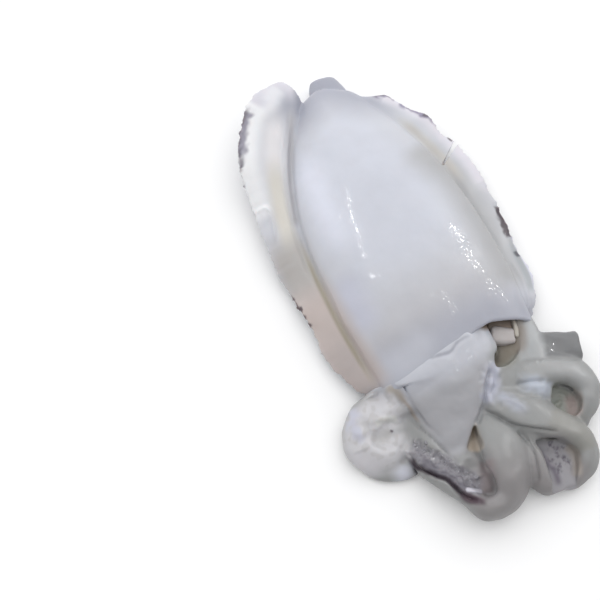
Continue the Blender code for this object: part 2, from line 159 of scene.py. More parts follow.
mantle = {
    "length": 168.0, "halfWidth": 46.0, "widestAt": 50.0, "frontNarrowing": 4.5,
    "widthFall": (1.8, 0.53), "heightFall": (2.1, 0.62), "lipFall": 1.7,
    "middleX": 1.2, "tailShift": 4.0, "tailShiftFrom": 90.0,
    "height": 37.0, "highestAt": 80.0, "lipDrop": 10.0, "tailHeight": 9.0,
    "sideHeight": 12.0, "sideShare": 0.6, "sideRoundness": 0.92, "domeRoundness": 0.97,
    "spacing": 1.35, "pointedFrom": 95.0, "pointedOver": 60.0, "baseSink": 2.0,
    "baseRoundness": 0.6,
    "wall": 2.8, "openingDepth": 13.0, "turnInFrom": 0.86, "liningFrom": 0.92,
    "edgeTop": (20.0, 5.2), "leftSlant": (8.5, 55.0, 0.9), "rightCorner": (4.6, 19.0, 1.6),
    "edgeReach": 60.0, "swell": 0.9, "swellScale": 0.025, "edgeWave": (1.2, 0.09, 3.7),
    "leftCorner": (-33.0, 3.5, 8.0), "notch": (16.0, 9.0, 2.6),
}


def mantleHalfWidth(y):
    if y < mantle["widestAt"]:
        return mantle["halfWidth"] - mantle["frontNarrowing"] * (1 - y / mantle["widestAt"]) ** 2
    share = min((y - mantle["widestAt"]) / (mantle["length"] - mantle["widestAt"]), 1.0)
    first, second = mantle["widthFall"]
    return mantle["halfWidth"] * (1 - share ** first) ** second


def mantleHeight(y):
    if y < mantle["highestAt"]:
        return mantle["height"] - mantle["lipDrop"] * (1 - y / mantle["highestAt"]) ** mantle["lipFall"]
    share = min((y - mantle["highestAt"]) / (mantle["length"] - mantle["highestAt"]), 1.0)
    first, second = mantle["heightFall"]
    return mantle["tailHeight"] + (mantle["height"] - mantle["tailHeight"]) * (1 - share ** first) ** second


def mantleMiddle(y):
    share = max(0.0, (y - mantle["tailShiftFrom"]) / (mantle["length"] - mantle["tailShiftFrom"]))
    return mantle["middleX"] + mantle["tailShift"] * share ** 2


def frontEdge(x):  # the edge slants, waves a little, and its right corner turns forwards
    topX, topY = mantle["edgeTop"]
    forwards, width, exponent = mantle["leftSlant"] if x < topX else mantle["rightCorner"]
    high, scale, start = mantle["edgeWave"]
    wave = high * noise.noise(Vector((x * scale, start, 0.0)))
    cornerFrom, cornerTurn, cornerOver = mantle["leftCorner"]
    wave += cornerTurn * (max(0.0, cornerFrom - x) / cornerOver) ** 2
    notchX, notchWidth, notchDepth = mantle["notch"]
    wave += notchDepth * math.exp(-((x - notchX) / notchWidth) ** 2)
    return topY - forwards * (abs(x - topX) / width) ** exponent + wave


def power(value, exponent):
    return math.copysign(abs(value) ** exponent, value)


def mantleSection(angle, y, inset):  # a dome on a flat base
    across, upward = math.cos(angle), math.sin(angle)
    high = mantleHeight(y)
    side = min(mantle["sideHeight"], mantle["sideShare"] * high)
    x = max(mantleHalfWidth(y) - inset, 0.0) * power(across, mantle["sideRoundness"])
    if upward > 0:
        pointed = min(max((y - mantle["pointedFrom"]) / mantle["pointedOver"], 0.0), 1.0)
        return x, side + max(high - side - inset, 1.0) * upward ** (mantle["domeRoundness"] + pointed)
    return x, side - (side + mantle["baseSink"] - inset) * abs(upward) ** mantle["baseRoundness"]


def mantlePlace(u, v):  # outer skin from the tail to the lip, then the turned-in edge and the lining
    angle = 2 * math.pi * u
    turnIn, lining, wall = mantle["turnInFrom"], mantle["liningFrom"], mantle["wall"]
    inset = 0.0
    if v < turnIn:
        y = mantle["length"] * (1 - v / turnIn) ** mantle["spacing"]
    elif v < lining:
        turn = math.pi * (v - turnIn) / (lining - turnIn)
        y = -0.5 * wall * math.sin(turn)
        inset = 0.5 * wall * (1 - math.cos(turn))
    else:
        y = mantle["openingDepth"] * (v - lining) / (1 - lining)
        inset = wall
    x, z = mantleSection(angle, max(y, 0.0), inset)
    y += frontEdge(mantle["middleX"] + x) * max(0.0, 1 - abs(y) / mantle["edgeReach"]) ** 2
    swell = mantle["swell"] * noise.noise(Vector((x, y, z)) * mantle["swellScale"])
    return mantleMiddle(y) + x, y, z + swell * max(0.0, math.sin(angle))


# Fins, from the tail forwards: (root x, y, height), (rim x, y, height)

leftFin = {
    "stations": (
        ((-7, 165, 10), (-9.5, 175, 16)), ((-12, 160, 11), (-16.5, 179, 18)),
        ((-17, 153, 12), (-32, 175, 18)), ((-22, 145, 12), (-44, 162, 18)),
        ((-27, 135, 11), (-52.5, 148, 16)), ((-31, 122, 10), (-57, 130, 12.5)),
        ((-36.5, 105, 9), (-58.5, 108, 9)), ((-42, 86, 8), (-61, 87, 7)),
        ((-44, 68, 8), (-60.5, 67, 6)), ((-43.5, 48, 8), (-58.5, 47, 6)),
        ((-42.5, 28, 8), (-59, 27, 6)), ((-41, 10, 8), (-53.5, 9, 5.5)), ((-39, 0, 8), (-45, -2, 6))),
    "swell": (5.0, 1.5), "scallops": (),
}
rightFin = {
    "stations": (
        ((14, 162, 7), (20, 161, 7)), ((18, 156, 9), (27, 154, 8)), ((21, 147, 11), (35.5, 149, 9)),
        ((26, 136, 12), (43.5, 140, 10)), ((30, 125, 11), (50.5, 129, 10)),
        ((34, 113, 11), (54.8, 115, 9)), ((38, 101, 10), (59.5, 103, 8)), ((41.5, 88, 9), (62.5, 88, 7)),
        ((44, 70, 8), (62.5, 70, 6)), ((45.5, 50, 8), (60, 50, 6)), ((45.5, 30, 8), (57.5, 31, 6)),
        ((44, 13, 8), (54, 12, 6)), ((41, 2, 8), (45, 0, 7))),
    "swell": (2.5, 0.5),
    "scallops": ((149, 3, 2.0), (126, 5, 1.5), (108, 5, 2.2), (26, 9, 2.4)),
}
finSkin = {
    "rootInset": 6.0, "rootThickness": 7.0, "rimThickness": 2.0, "thinning": 1.2, "rimRoundness": 6,
    "ends": (0.3, 8), "swellAt": 0.8, "ripple": 1.1, "ripples": 5.5, "rippleStart": 1.3,
    "underside": 0.3, "rimUneven": (1.0, 0.02, 0.11, 0.0), "rimRagged": (0.7, 0.1, 0.45, 7.0),
}


def rimNoise(rim, high, scaleX, scaleY, start):
    return high * noise.noise(Vector((rim.x * scaleX, rim.y * scaleY, start)))


def finPlace(fin):  # u runs out over the upper face and back under the lower one
    roots, rims = zip(*fin["stations"])
    known = {}

    def place(u, v):
        if v not in known:
            known[v] = curvePoint(roots, v), curvePoint(rims, v)
        root, rim = known[v]
        reach = 1 - abs(2 * u - 1)
        outward = (rim - root).normalized()
        start = root - outward * finSkin["rootInset"]
        width = (rim - start).length
        width += rimNoise(rim, *finSkin["rimUneven"])
        width += sum(out * math.exp(-((rim.y - y) / wide) ** 2) for y, wide, out in fin["scallops"])
        width += rimNoise(rim, *finSkin["rimRagged"]) * reach
        point = start + outward * width * reach
        swell = fin["swell"][0] + (fin["swell"][1] - fin["swell"][0]) * v
        swell *= math.sin(math.pi * reach ** finSkin["swellAt"])
        ripple = finSkin["ripple"] * math.sin(2 * math.pi * finSkin["ripples"] * v + finSkin["rippleStart"])
        thick = finSkin["rimThickness"]
        thick += (finSkin["rootThickness"] - finSkin["rimThickness"]) * (1 - reach) ** finSkin["thinning"]
        thin, opening = finSkin["ends"]
        edge = math.sqrt(max(0.0, 1 - reach ** finSkin["rimRoundness"]))
        edge *= min(1.0, thin + opening * v, thin + opening * (1 - v))
        height = point.z + swell + ripple * reach ** 2
        offset = 0.5 * thick * edge * (1 if u < 0.5 else -1)
        return point.x, point.y, max(height, 0.5 * thick + finSkin["underside"]) + offset

    return place


# Head and arms: centre lines as (x, y, height, half width)

funnel = {
    "route": ((-6, 24, 15.5, 26), (-7, 10, 16, 27.5), (-8.8, -3, 16, 28), (-10, -10, 15.5, 25.5),
              (-13, -17, 14.8, 20.5), (-15.5, -24, 13.8, 16), (-17.5, -30, 13, 12.5),
              (-20.3, -37, 12, 8.5), (-23, -44.5, 10.5, 5)),
    "depth": 0.35, "flattening": 1.0, "square": 1.0,
}
head = {
    "route": ((3, 24, 10, 33), (4, 8, 10, 38), (6, -6, 9.5, 39), (9, -17, 9.5, 37), (11, -27, 9, 32),
              (11, -37, 8.5, 25), (8, -47, 8, 18), (5, -58, 7, 11)),
    "depth": 0.27, "flattening": 1.0, "square": 1.0,
}
neckSide = {
    "route": ((38, 16, 11, 5), (37.5, 3, 12, 6), (35.5, -9, 12.5, 7), (32, -20, 13, 8), (26, -30, 13, 8),
              (18, -36, 12, 6)),
    "depth": 0.7, "flattening": 1.0,
}
tailTip = {
    "route": ((10, 148, 5, 11), (10.5, 158, 5, 11), (10.5, 166, 5, 10.2), (11, 171.5, 5, 8.5),
              (11.5, 175.5, 5, 6.5)),
    "depth": 0.42, "flattening": 0.9, "square": 1.0,
}
arms = {
    "upperRight": {
        "route": ((20, -9, 11, 7.5), (31, -12, 11.5, 8.4), (40, -15.4, 11.5, 8.2), (50, -19, 10.5, 7.8),
                  (58.5, -21.6, 10, 7.4)),
        "depth": 0.66, "square": 0.55, "tip": 0.03},
    "right": {
        "route": ((18, -22, 12.5, 7.5), (30, -24.5, 13.5, 7.8), (39.5, -27.6, 13.5, 7.8),
                  (47.4, -33.4, 12.5, 7.9), (50.4, -40.5, 10.5, 7.7), (47.2, -47.6, 9, 6.8),
                  (40.5, -52.5, 8, 5.4), (33, -55, 6.5, 3)),
        "depth": 0.8, "roll": -60},
    "lowerRight": {
        "route": ((2, -21, 11, 6), (6, -29, 13.5, 8), (13.5, -38.5, 14.5, 9.6), (21, -46.2, 14, 9.6),
                  (28.5, -53.5, 12.5, 8.4), (34, -61.5, 11, 7.2), (34.5, -69, 9.5, 6.8),
                  (30, -75, 8, 6.2), (22, -78, 6.5, 5), (13, -77, 5.5, 3)),
        "depth": 0.72, "roll": -60},
    "front": {
        "route": ((-1.5, -27, 9, 4), (-3, -36, 12, 7.6), (-2.6, -46, 13.6, 11), (-3.4, -55, 13.5, 12.4),
                  (-6, -64.5, 12, 12), (-13, -72, 10.5, 9.7), (-22.5, -71, 9.5, 9.8),
                  (-26.3, -61.5, 9, 9.6), (-30.8, -51.5, 8.5, 9.3), (-35.5, -42.5, 8, 8.4),
                  (-39, -33, 7, 6.6), (-41.5, -23, 6, 4)),
        "depth": 0.68, "roll": -165},
    "frontUnder": {
        "route": ((8, -28, 9, 7), (9.5, -42, 9, 8.5), (9, -55, 8.5, 8), (8.2, -65, 8, 8.6),
                  (10.5, -73, 7, 7.6), (18, -72, 6.5, 7.5), (22, -64, 6.5, 7.5), (23, -56, 6, 6)),
        "depth": 0.9, "roll": 150},
    "left": {
        "route": ((-24, -12, 7.5, 8), (-37, -7, 8, 9), (-49, -6.5, 7.5, 9.4), (-59, -12, 7, 9),
                  (-63, -21, 6.5, 8.4), (-58, -28, 6, 7), (-50, -29, 5.5, 6), (-46, -23, 5, 4)),
        "depth": 0.72, "roll": 40},
    "leftUnder": {
        "route": ((-14, -28, 7, 8), (-22, -40, 6.5, 8.5), (-26, -51, 6, 8), (-22, -60, 5, 6.5),
                  (-14, -64, 4.5, 4)),
        "depth": 0.85, "roll": 40},
    "rightUnder": {
        "route": ((18, -28, 7, 8), (28, -36, 6.5, 8.5), (37, -42, 6, 8), (42, -50, 5.5, 6.6),
                  (38, -57, 4.5, 4)),
        "depth": 0.8, "roll": -150},
}
plainLimb = {"flattening": 0.62, "square": 0.8, "tip": 0.05, "roll": 0, "slopeStep": 0.01}

# Webs of skin between the arms: centre, half size, turn
webs = (
    ((34, -38, 5), (18, 17, 4.5), 0), ((20, -62, 4.5), (16, 17, 4), 0), ((-12, -52, 6), (17, 18, 5), 0),
    ((-51, -19, 6.5), (15, 13, 4.6), 0), ((24, -31, 12), (15, 10, 4.5), -0.35),
    ((2, -20, 14), (11, 12, 5.5), 0.5), ((-31, -27, 6), (10, 15, 5), 0),
    ((36, -20, 11), (17, 8, 4.5), -0.25), ((-19, -54, 7), (11, 17, 6.5), 0.35),
    ((-29, -34, 8), (8, 13, 5), 0.3), ((-54, -34.5, 2.6), (14.5, 6.5, 3.6), -0.45))


def limbPlace(limb):  # an oval section swept along the route, flatter on its inner side
    limb = {**plainLimb, **limb}
    route, square, rounding, step = limb["route"], limb["square"], limb["tip"], limb["slopeStep"]
    known = {}

    def place(u, v):
        if v not in known:
            centre = curvePoint(route, v)
            tangent = (curvePoint(route, v + step) - curvePoint(route, v - step)).xyz.normalized()
            up = (Vector((0, 0, 1)) - tangent * tangent.z).normalized()
            turn = math.radians(limb["roll"] * v * v * (3 - 2 * v))
            outer = up * math.cos(turn) + tangent.cross(up) * math.sin(turn)
            end = min(1.0, v / rounding, (1 - v) / rounding)
            half = max(centre.w, 1.0) * math.sqrt(max(0.0, 1 - (1 - end) ** 2))
            known[v] = centre.xyz, outer, tangent.cross(outer), half
        centre, outer, side, half = known[v]
        over = power(math.sin(2 * math.pi * u), square)
        across = power(math.cos(2 * math.pi * u), square)
        deep = limb["depth"] * (over if over > 0 else limb["flattening"] * over)
        return centre + side * (half * across) + outer * (half * deep)

    return place


# Brushes: they work on whole meshes by each vertex's distance from a line or an outline

farAway = 1e9
tiny = 1e-9


def level(points):  # flat points with a height of nothing
    return [(*point, 0) for point in points]


def closedCurve(outline, perPoint=6):
    stations = level((outline[-1], *outline, outline[0], outline[1]))
    first, last = 1 / (len(stations) - 1), (len(stations) - 2) / (len(stations) - 1)
    count = perPoint * len(outline)
    return [tuple(curvePoint(stations, first + (last - first) * n / count)[:2]) for n in range(count)]


def vectorsOf(items, name):
    found = np.empty(len(items) * 3, np.float32)
    items.foreach_get(name, found)
    return found.reshape(-1, 3).astype(float)


def pointsOf(thing):
    return vectorsOf(thing.data.vertices, "co") / mm


def normalsOf(thing):
    return vectorsOf(thing.data.vertex_normals, "vector")


def setPoints(thing, points):
    thing.data.vertices.foreach_set("co", (points * mm).astype(np.float32).ravel())
    thing.data.update()


def roughen(thing, layers):  # fine unevenness of the flesh: (size, height) in millimetres
    points, normals = pointsOf(thing), normalsOf(thing)
    start = 3.0  # each layer reads the noise at its own place
    rise = sum(height * grain(points, size, start + size) for size, height in layers)
    setPoints(thing, points + normals * rise[:, None])


def ease(value, low, high):
    share = np.clip((value - low) / (high - low), 0, 1)
    return share * share * (3 - 2 * share)


def grain(points, size, start):  # smooth noise at a scale in millimetres
    offset = Vector((start, 2 * start, 3 * start))
    return np.array([noise.noise(Vector(point) / size + offset) for point in points])


def besideRun(flat, start, end):  # share along a straight run, the way off it and the distance
    run = end - start
    along = np.clip(((flat - start) @ run) / (run @ run), 0, 1)
    off = flat - (start + along[:, None] * run)
    return along, off, np.hypot(off[:, 0], off[:, 1])


def nearLine(flat, line, steps=48):  # distance, side (+1 on its left) and share along a smooth line
    curve = [np.array(curvePoint(level(line), n / steps)[:2]) for n in range(steps + 1)]
    distance = np.full(len(flat), farAway)
    side = np.zeros(len(flat))
    share = np.zeros(len(flat))
    for n, (start, end) in enumerate(zip(curve, curve[1:])):
        run = end - start
        if run @ run < tiny:
            continue
        along, off, far = besideRun(flat, start, end)
        closer = far < distance
        distance[closer] = far[closer]
        side[closer] = np.sign(run[0] * off[closer, 1] - run[1] * off[closer, 0])
        share[closer] = (n + along[closer]) / steps
    return distance, side, share


def outsideOf(flat, outline):  # distance from an outline, negative inside it
    inside = np.zeros(len(flat), bool)
    distance = np.full(len(flat), farAway)
    for start, end in zip(outline, outline[1:] + outline[:1]):
        start, end = np.array(start, float), np.array(end, float)
        distance = np.minimum(distance, besideRun(flat, start, end)[2])
        run = end - start
        crosses = (start[1] > flat[:, 1]) != (end[1] > flat[:, 1])
        height = (flat[:, 1] - start[1]) / (run[1] if abs(run[1]) > tiny else tiny)
        inside ^= crosses & (flat[:, 0] < start[0] + height * run[0])
    return np.where(inside, -distance, distance)


reliefLook = {"fade": 0.12, "bumpsFrom": 0.5, "bumpsStart": 9.0, "facing": (-0.1, 0.3)}


def relief(line, wide, **more):  # deep presses in, fold lifts the left side, bumps roughens
    return {"line": line, "wide": wide, **more}


def shapeRelief(thing, brushes):  # works along the normals of what faces up
    points, normals = pointsOf(thing), normalsOf(thing)
    rise = np.zeros(len(points))
    for brush in brushes.values():
        wide = brush["wide"]
        distance, side, share = nearLine(points[:, :2], brush["line"])
        ends = ease(np.minimum(share, 1 - share), 0.0, brush.get("fade", reliefLook["fade"]))
        rise -= brush.get("deep", 0.0) * np.exp(-(distance / wide) ** 2) * ends
        if "fold" in brush:
            rise += brush["fold"] * side * np.exp(-distance / brush["foldReach"]) * ends
        if "bumps" in brush:
            near = np.nonzero(distance < wide)[0]
            bumps = brush["bumps"] * grain(points[near], brush["size"], reliefLook["bumpsStart"])
            rise[near] += bumps * ends[near] \
                * (1 - ease(distance[near], reliefLook["bumpsFrom"] * wide, wide))
    rise *= ease(normals[:, 2], *reliefLook["facing"])
    setPoints(thing, points + normals * rise[:, None])


def linear(colour):  # from the usual 0 to 255 values
    return np.array([((c / 255 + 0.055) / 1.055) ** 2.4 if c > 10 else c / 255 / 12.92 for c in colour])


paintLook = {
    "facing": (-0.35, 0.0), "grains": (1.2, 3.0), "grainStart": 5.0, "raggedSize": 3.0,
    "endsFrom": -0.02, "fade": 0.1, "underOver": (-1.5, 0.5),
}


# wide is how far the paint reaches and soft how much of that fades out. fade softens a line's
# ends, ragged and patches break the paint up, and under keeps it on what lies lower.

def stroke(line, colour, wide, soft, **more):
    return {"line": line, "colour": colour, "wide": wide, "soft": soft, **more}


def area(outline, colour, wide, soft, **more):
    return {"outline": outline, "colour": colour, "wide": wide, "soft": soft, **more}


def spots(places, colour, wide, soft, **more):
    return {"spots": places, "colour": colour, "wide": wide, "soft": soft, **more}


def setTint(thing, colours):  # one linear colour for each vertex
    values = np.c_[colours, np.ones(len(colours))].astype(np.float32)
    attribute = thing.data.color_attributes.new("tint", "FLOAT_COLOR", "POINT")
    attribute.data.foreach_set("color", values.ravel())


def paint(thing, base, strokes):  # from above, the later strokes over the earlier ones
    points, normals = pointsOf(thing), normalsOf(thing)
    flat = points[:, :2]
    facing = ease(normals[:, 2], *paintLook["facing"])
    rough = {size: grain(points, size, paintLook["grainStart"]) for size in paintLook["grains"]}
    colour = np.tile(linear(base), (len(points), 1))
    for brush in strokes.values():
        ends = 1.0
        if "outline" in brush:
            distance = outsideOf(flat, closedCurve(brush["outline"]))
        elif "spots" in brush:
            distance = np.min([np.hypot(*(flat - np.array(spot)).T) for spot in brush["spots"]], axis=0)
        else:
            distance, side, share = nearLine(flat, brush["line"])
            fade = brush.get("fade", paintLook["fade"])
            ends = ease(np.minimum(share, 1 - share), paintLook["endsFrom"], fade)
        if "ragged" in brush:
            distance = distance + brush["ragged"] * rough[brush.get("raggedSize", paintLook["raggedSize"])]
        weight = brush.get("strength", 1.0) * ends * ease(brush["wide"] - distance, 0.0, brush["soft"])
        if "patches" in brush:
            size, least, most = brush["patches"]
            weight = weight * ease(rough[size], least, most)
        if "under" in brush:
            weight = weight * ease(brush["under"] - points[:, 2], *paintLook["underOver"])
        weight = weight * facing
        colour += (linear(brush["colour"]) - colour) * weight[:, None]
    setTint(thing, colour)


def markWet(thing, lines):  # where the film of water glints: (line, width)
    flat = pointsOf(thing)[:, :2]
    wet = np.zeros(len(flat))
    for line, wide in lines:
        wet = np.maximum(wet, ease(wide - nearLine(flat, line)[0], 0.0, wide))
    attribute = thing.data.attributes.new("wet", "FLOAT", "POINT")
    attribute.data.foreach_set("value", wet.astype(np.float32))


def dressed(thing, material):
    thing.data.materials.clear()
    thing.data.materials.append(material)
    thing.data.shade_smooth()
    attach(thing, "root")
    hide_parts("cuttlefish")
    return thing


def settled(thing, material):  # moves a finished mesh to the part's origin
    thing.data.transform(Matrix.Translation((-boxMiddle[0] * mm, -boxMiddle[1] * mm, 0)))
    return dressed(thing, material)


# Materials

fleshLook = {
    "subsurface": 0.22, "radius": (1.0, 0.75, 0.65), "scatter": 0.0035, "ior": 1.38, "coatRoughness": 0.1,
    "patches": {"Scale": 90.0, "Detail": 5.0}, "mottleOver": (0.3, 0.7), "mottle": 0.025, "albedo": 0.8,
    "dullOver": (0.35, 0.65), "roughness": (0.4, 0.6),
    "fibres": {"Scale": 900.0, "Detail": 3.0}, "fibreBump": {"Strength": 0.06, "Distance": 0.0003},
    "drops": {"Scale": 520.0, "Detail": 1.0, "Distortion": 1.5}, "dropsOver": (0.42, 0.48),
    "coat": (0.02, 1.0), "film": {"Scale": 450.0, "Detail": 0.0}, "filmBump": {"Distance": 0.00046},
}


def addNode(tree, kind, values=(), feeds=(), operation=None):
    node = tree.nodes.new("ShaderNode" + kind)
    if operation:
        node.operation = operation
    for socket, value in dict(values).items():
        node.inputs[socket].default_value = value
    for socket, source in dict(feeds).items():
        tree.links.new(source, node.inputs[socket])
    return node


def addRange(tree, source, found=(0.0, 1.0), given=(0.0, 1.0), blend="LINEAR"):
    values = zip(("From Min", "From Max", "To Min", "To Max"), (*found, *given))
    node = addNode(tree, "MapRange", values, {"Value": source})
    node.interpolation_type = blend
    return node.outputs["Result"]


def fleshMaterial(name, look):
    material = bpy.data.materials.new(name)
    material.use_nodes = True
    tree = material.node_tree
    shader = tree.nodes["Principled BSDF"]
    shader.inputs["Subsurface Weight"].default_value = look["subsurface"]
    shader.inputs["Subsurface Radius"].default_value = look["radius"]
    shader.inputs["Subsurface Scale"].default_value = look["scatter"]
    shader.inputs["Coat Roughness"].default_value = look["coatRoughness"]
    shader.inputs["IOR"].default_value = look["ior"]
    place = {"Vector": addNode(tree, "TexCoord").outputs["Object"]}
    tint = addNode(tree, "VertexColor")
    tint.layer_name = "tint"

    # Faint mottling, and duller and wetter patches
    patches = addNode(tree, "TexNoise", look["patches"], place).outputs["Fac"]
    lightness = (look["albedo"] * (1 - look["mottle"]), look["albedo"] * (1 + look["mottle"]))
    shade = addRange(tree, patches, look["mottleOver"], lightness)
    mottled = addNode(tree, "VectorMath", (), {"Vector": tint.outputs["Color"], "Scale": shade}, "SCALE")
    tree.links.new(mottled.outputs["Vector"], shader.inputs["Base Color"])
    dull = addRange(tree, patches, look["dullOver"], look["roughness"])
    tree.links.new(dull, shader.inputs["Roughness"])

    # The fine grain of the flesh
    fibres = addNode(tree, "TexNoise", look["fibres"], place)
    bump = addNode(tree, "Bump", look["fibreBump"], {"Height": fibres.outputs["Fac"]})
    tree.links.new(bump.outputs["Normal"], shader.inputs["Normal"])

    # The film of water breaks up into bright pieces, and its ripples bend the lamps' reflections
    drops = addNode(tree, "TexNoise", look["drops"], place)
    pieces = addRange(tree, drops.outputs["Fac"], look["dropsOver"])
    wet = addNode(tree, "Attribute")
    wet.attribute_name = "wet"
    glints = addNode(tree, "Math", (), {0: wet.outputs["Fac"], 1: pieces}, "MULTIPLY")
    shine = addRange(tree, glints.outputs["Value"], given=look["coat"])
    tree.links.new(shine, shader.inputs["Coat Weight"])
    film = addNode(tree, "TexNoise", look["film"], place)
    ripple = addNode(tree, "Bump", look["filmBump"], {"Height": film.outputs["Fac"]})
    tree.links.new(ripple.outputs["Normal"], shader.inputs["Coat Normal"])
    return material


# The mantle with its fins and tail tip

torsoRelief = {
    "mantleGroove": relief(((-12, 161), (-25, 138), (-32.5, 122), (-37, 109), (-41, 96), (-43, 82),
        (-44.2, 68), (-44.6, 53), (-45, 40), (-44.5, 28), (-43.6, 14), (-43, 4)), 1.2, deep=1.3),
    "finGroove": relief(((-16, 160), (-28.5, 140), (-34.5, 127), (-39, 114), (-42, 103), (-44.5, 90),
        (-46.5, 74), (-47.5, 60)), 1.0, deep=0.7, fade=0.2),
    "flapEdge": relief(((-57, 115), (-53, 115.5), (-50.3, 113.6), (-50.4, 109), (-51.7, 103), (-54.5, 94)),
        0.8, deep=-0.7, fold=-0.35, foldReach=4.0),
    "rightFold": relief(((30, 138), (36, 126), (41, 112), (45.5, 94), (46.8, 78), (47, 62), (47.5, 46),
        (48.5, 32), (48, 20)), 2.2, deep=0.6, fade=0.2),
    "rightRidge": relief(((50.5, 33), (50.4, 22), (48.5, 12), (46, 5)), 0.8, deep=-0.5),
}
torsoPaint = {
    "belly": area(((-30, 120), (-36, 60), (-20, 45), (25, 50), (34, 90), (15, 140), (-10, 145)),
        (218, 221, 232), 8, 26),
    "frontShade": stroke(((-40, 6), (-20, 8), (0, 10), (20, 12), (38, 8)), (202, 201, 206), 42, 40),
    "lipShade": stroke(((-40, 2), (-20, 4), (0, 6), (20, 8), (38, 4)), (182, 184, 196), 24, 24, fade=0.0),
    # less of the painted shade at the lip's left end, painted lighter
    "lipLeft": stroke(((-42, 8), (-32, 6), (-18, 8)), (203, 205, 215), 13, 12, fade=0.0, strength=0.9),
    "leftBlue": stroke(((-34, 62), (-36, 42), (-36, 22)), (212, 214, 228), 14, 14, fade=0.3),
    # painted highlight: the left of the belly, towards the light, painted lighter
    "bellyLeftHighlight": stroke(((-21, 136), (-26, 112), (-28, 86), (-28, 62)), (236, 239, 252), 14, 15, fade=0.3),
    "rightShade": stroke(((30, 110), (44, 80), (45, 50), (44, 15)), (183, 183, 185), 24, 24, strength=0.95),
    "tailShade": stroke(((-12, 165), (0, 170), (12, 166), (24, 156)), (176, 178, 191), 34, 30, fade=0.0),
    "leftFinOuter": stroke(((-20, 176), (-40, 164), (-52, 146), (-57, 128), (-59, 108)),
        (251, 252, 255), 16, 10),
    "leftFinTail": stroke(((-6, 172), (-20, 177), (-34, 170)), (222, 221, 230), 15, 12),
    "leftFinTip": stroke(((-15, 172.5), (-20, 170.5), (-25, 166)), (236, 237, 243), 7.5, 6.5, fade=0.2),
    # painted light: the fin's inner slope, which turns away from the light, painted lighter
    "leftFinPaintedLight": stroke(((-20, 164), (-29, 150), (-37, 134), (-42, 118)), (243, 241, 244), 9, 8,
        fade=0.4),
    "leftFinInner": stroke(((-34, 140), (-40, 126), (-44, 112), (-47, 98), (-49.5, 84), (-50, 72)),
        (228, 224, 216), 7, 6, fade=0.25),
    "leftFinGrey": stroke(((-50, 100), (-52, 82), (-52, 66), (-52, 50)), (194, 190, 188), 13, 9, fade=0.3),
    "leftFinPink": stroke(((-52, 70), (-52, 58), (-51, 44), (-50, 28), (-48, 8), (-46, -4)),
        (208, 196, 192), 14, 9, fade=0.25),
    "leftFinPinkLow": stroke(((-52, 46), (-51, 28), (-48, 8), (-45, -6)), (190, 180, 178), 13, 10, fade=0.5),
    # painted shade: darker in the groove between the left fin and the mantle
    "leftGroove": stroke(((-14, 160), (-25, 139), (-33, 123), (-38, 109), (-42, 96)), (188, 186, 190), 3.6,
        3.6, strength=0.8),
    # olive, and painted shade darker in the lower part of the groove
    "leftGrooveLow": stroke(((-42.5, 94), (-44, 80), (-45, 66), (-45.4, 50), (-45.2, 32), (-44.2, 14),
        (-43, 0)), (182, 174, 156), 2.6, 2.6, strength=0.9, fade=0.3),
    "rightFinInner": stroke(((34, 134), (41, 117), (47, 98), (51, 80)), (208, 204, 198), 5, 5, strength=0.8,
        fade=0.25),
    "rightFinOuter": stroke(((36, 148), (46, 137), (54, 120), (60, 98), (62, 80)), (230, 228, 237), 9, 7,
        fade=0.02),
    "rightTailRim": stroke(((30, 151), (35, 149.4), (41.5, 144.8), (45, 139.5), (48, 132), (51, 127),
        (54, 123), (56, 116)), (156, 150, 172), 3.4, 2.6, ragged=2.4),
    "rightRimGrey": stroke(((58.5, 48), (56.2, 34), (55.2, 22), (51.5, 12)), (174, 179, 184), 3.6, 2.6,
        fade=0.2, strength=0.9),
    "rightRim": stroke(((62, 62), (60.4, 46), (60, 32), (59, 22), (55.6, 12)), (226, 227, 243), 3.2, 2,
        fade=0.05),
    "violetSpot": spots(((42.9, 138.2),), (158, 155, 178), 3.8, 3.4, ragged=1.0),
    "tearLine": stroke(((44.9, 96.4), (50.1, 100)), (126, 106, 98), 0.9, 0.7, fade=0.0),
    "skinLeftVeil": stroke(((-36.5, 167), (-41, 163), (-45, 157.5), (-48.5, 151.5), (-51, 145)),
        (164, 162, 176), 5.0, 3.6, ragged=2.2, fade=0.08),
    "skinLeftTail": stroke(((-37, 168.2), (-41.6, 163.8), (-46, 158), (-49, 153), (-52, 144), (-53.6, 139)),
        (122, 119, 130), 2.8, 2.2, ragged=1.8, fade=0.03, patches=(3.0, -0.5, 0.1)),
    "skinLeftMiddle": stroke(((-55, 140), (-56.5, 133), (-57.8, 125)), (140, 136, 148), 1.6, 1.4,
        ragged=2.4),
    "skinLeftFront": stroke(((-61.5, 70), (-60.6, 60), (-59.6, 50), (-59.5, 40)), (104, 92, 96), 2.2, 1.2,
        ragged=2.4),
    "skinRightTail": stroke(((31, 150.5), (35.5, 150.5), (40, 147.5)), (120, 114, 128), 2.2, 1.2,
        ragged=1.6, fade=0.03),
    "skinRightTail2": stroke(((43.5, 142), (45.5, 139), (46.8, 136)), (126, 120, 146), 3.2, 2.4, ragged=2.0),
    "skinRightTail3": stroke(((50.2, 129), (53, 125.5), (55, 122)), (104, 98, 108), 1.8, 0.9, ragged=1.4),
    "skinRightTear": stroke(((56.5, 112), (58.6, 109)), (120, 112, 122), 2.0, 1.2, ragged=1.4),
    "skinRightLow": stroke(((60.4, 65), (59.4, 58), (58.3, 51), (57.2, 45)), (72, 60, 70), 2.9, 1.6,
        ragged=1.6, fade=0.1),
    "skinRightLow2": stroke(((63, 78), (62.8, 74)), (84, 76, 88), 1.3, 0.7, ragged=1.0),
    "skinRightLow3": stroke(((56.5, 38), (56.8, 34)), (96, 96, 104), 2.0, 1.4, ragged=1.4),
}
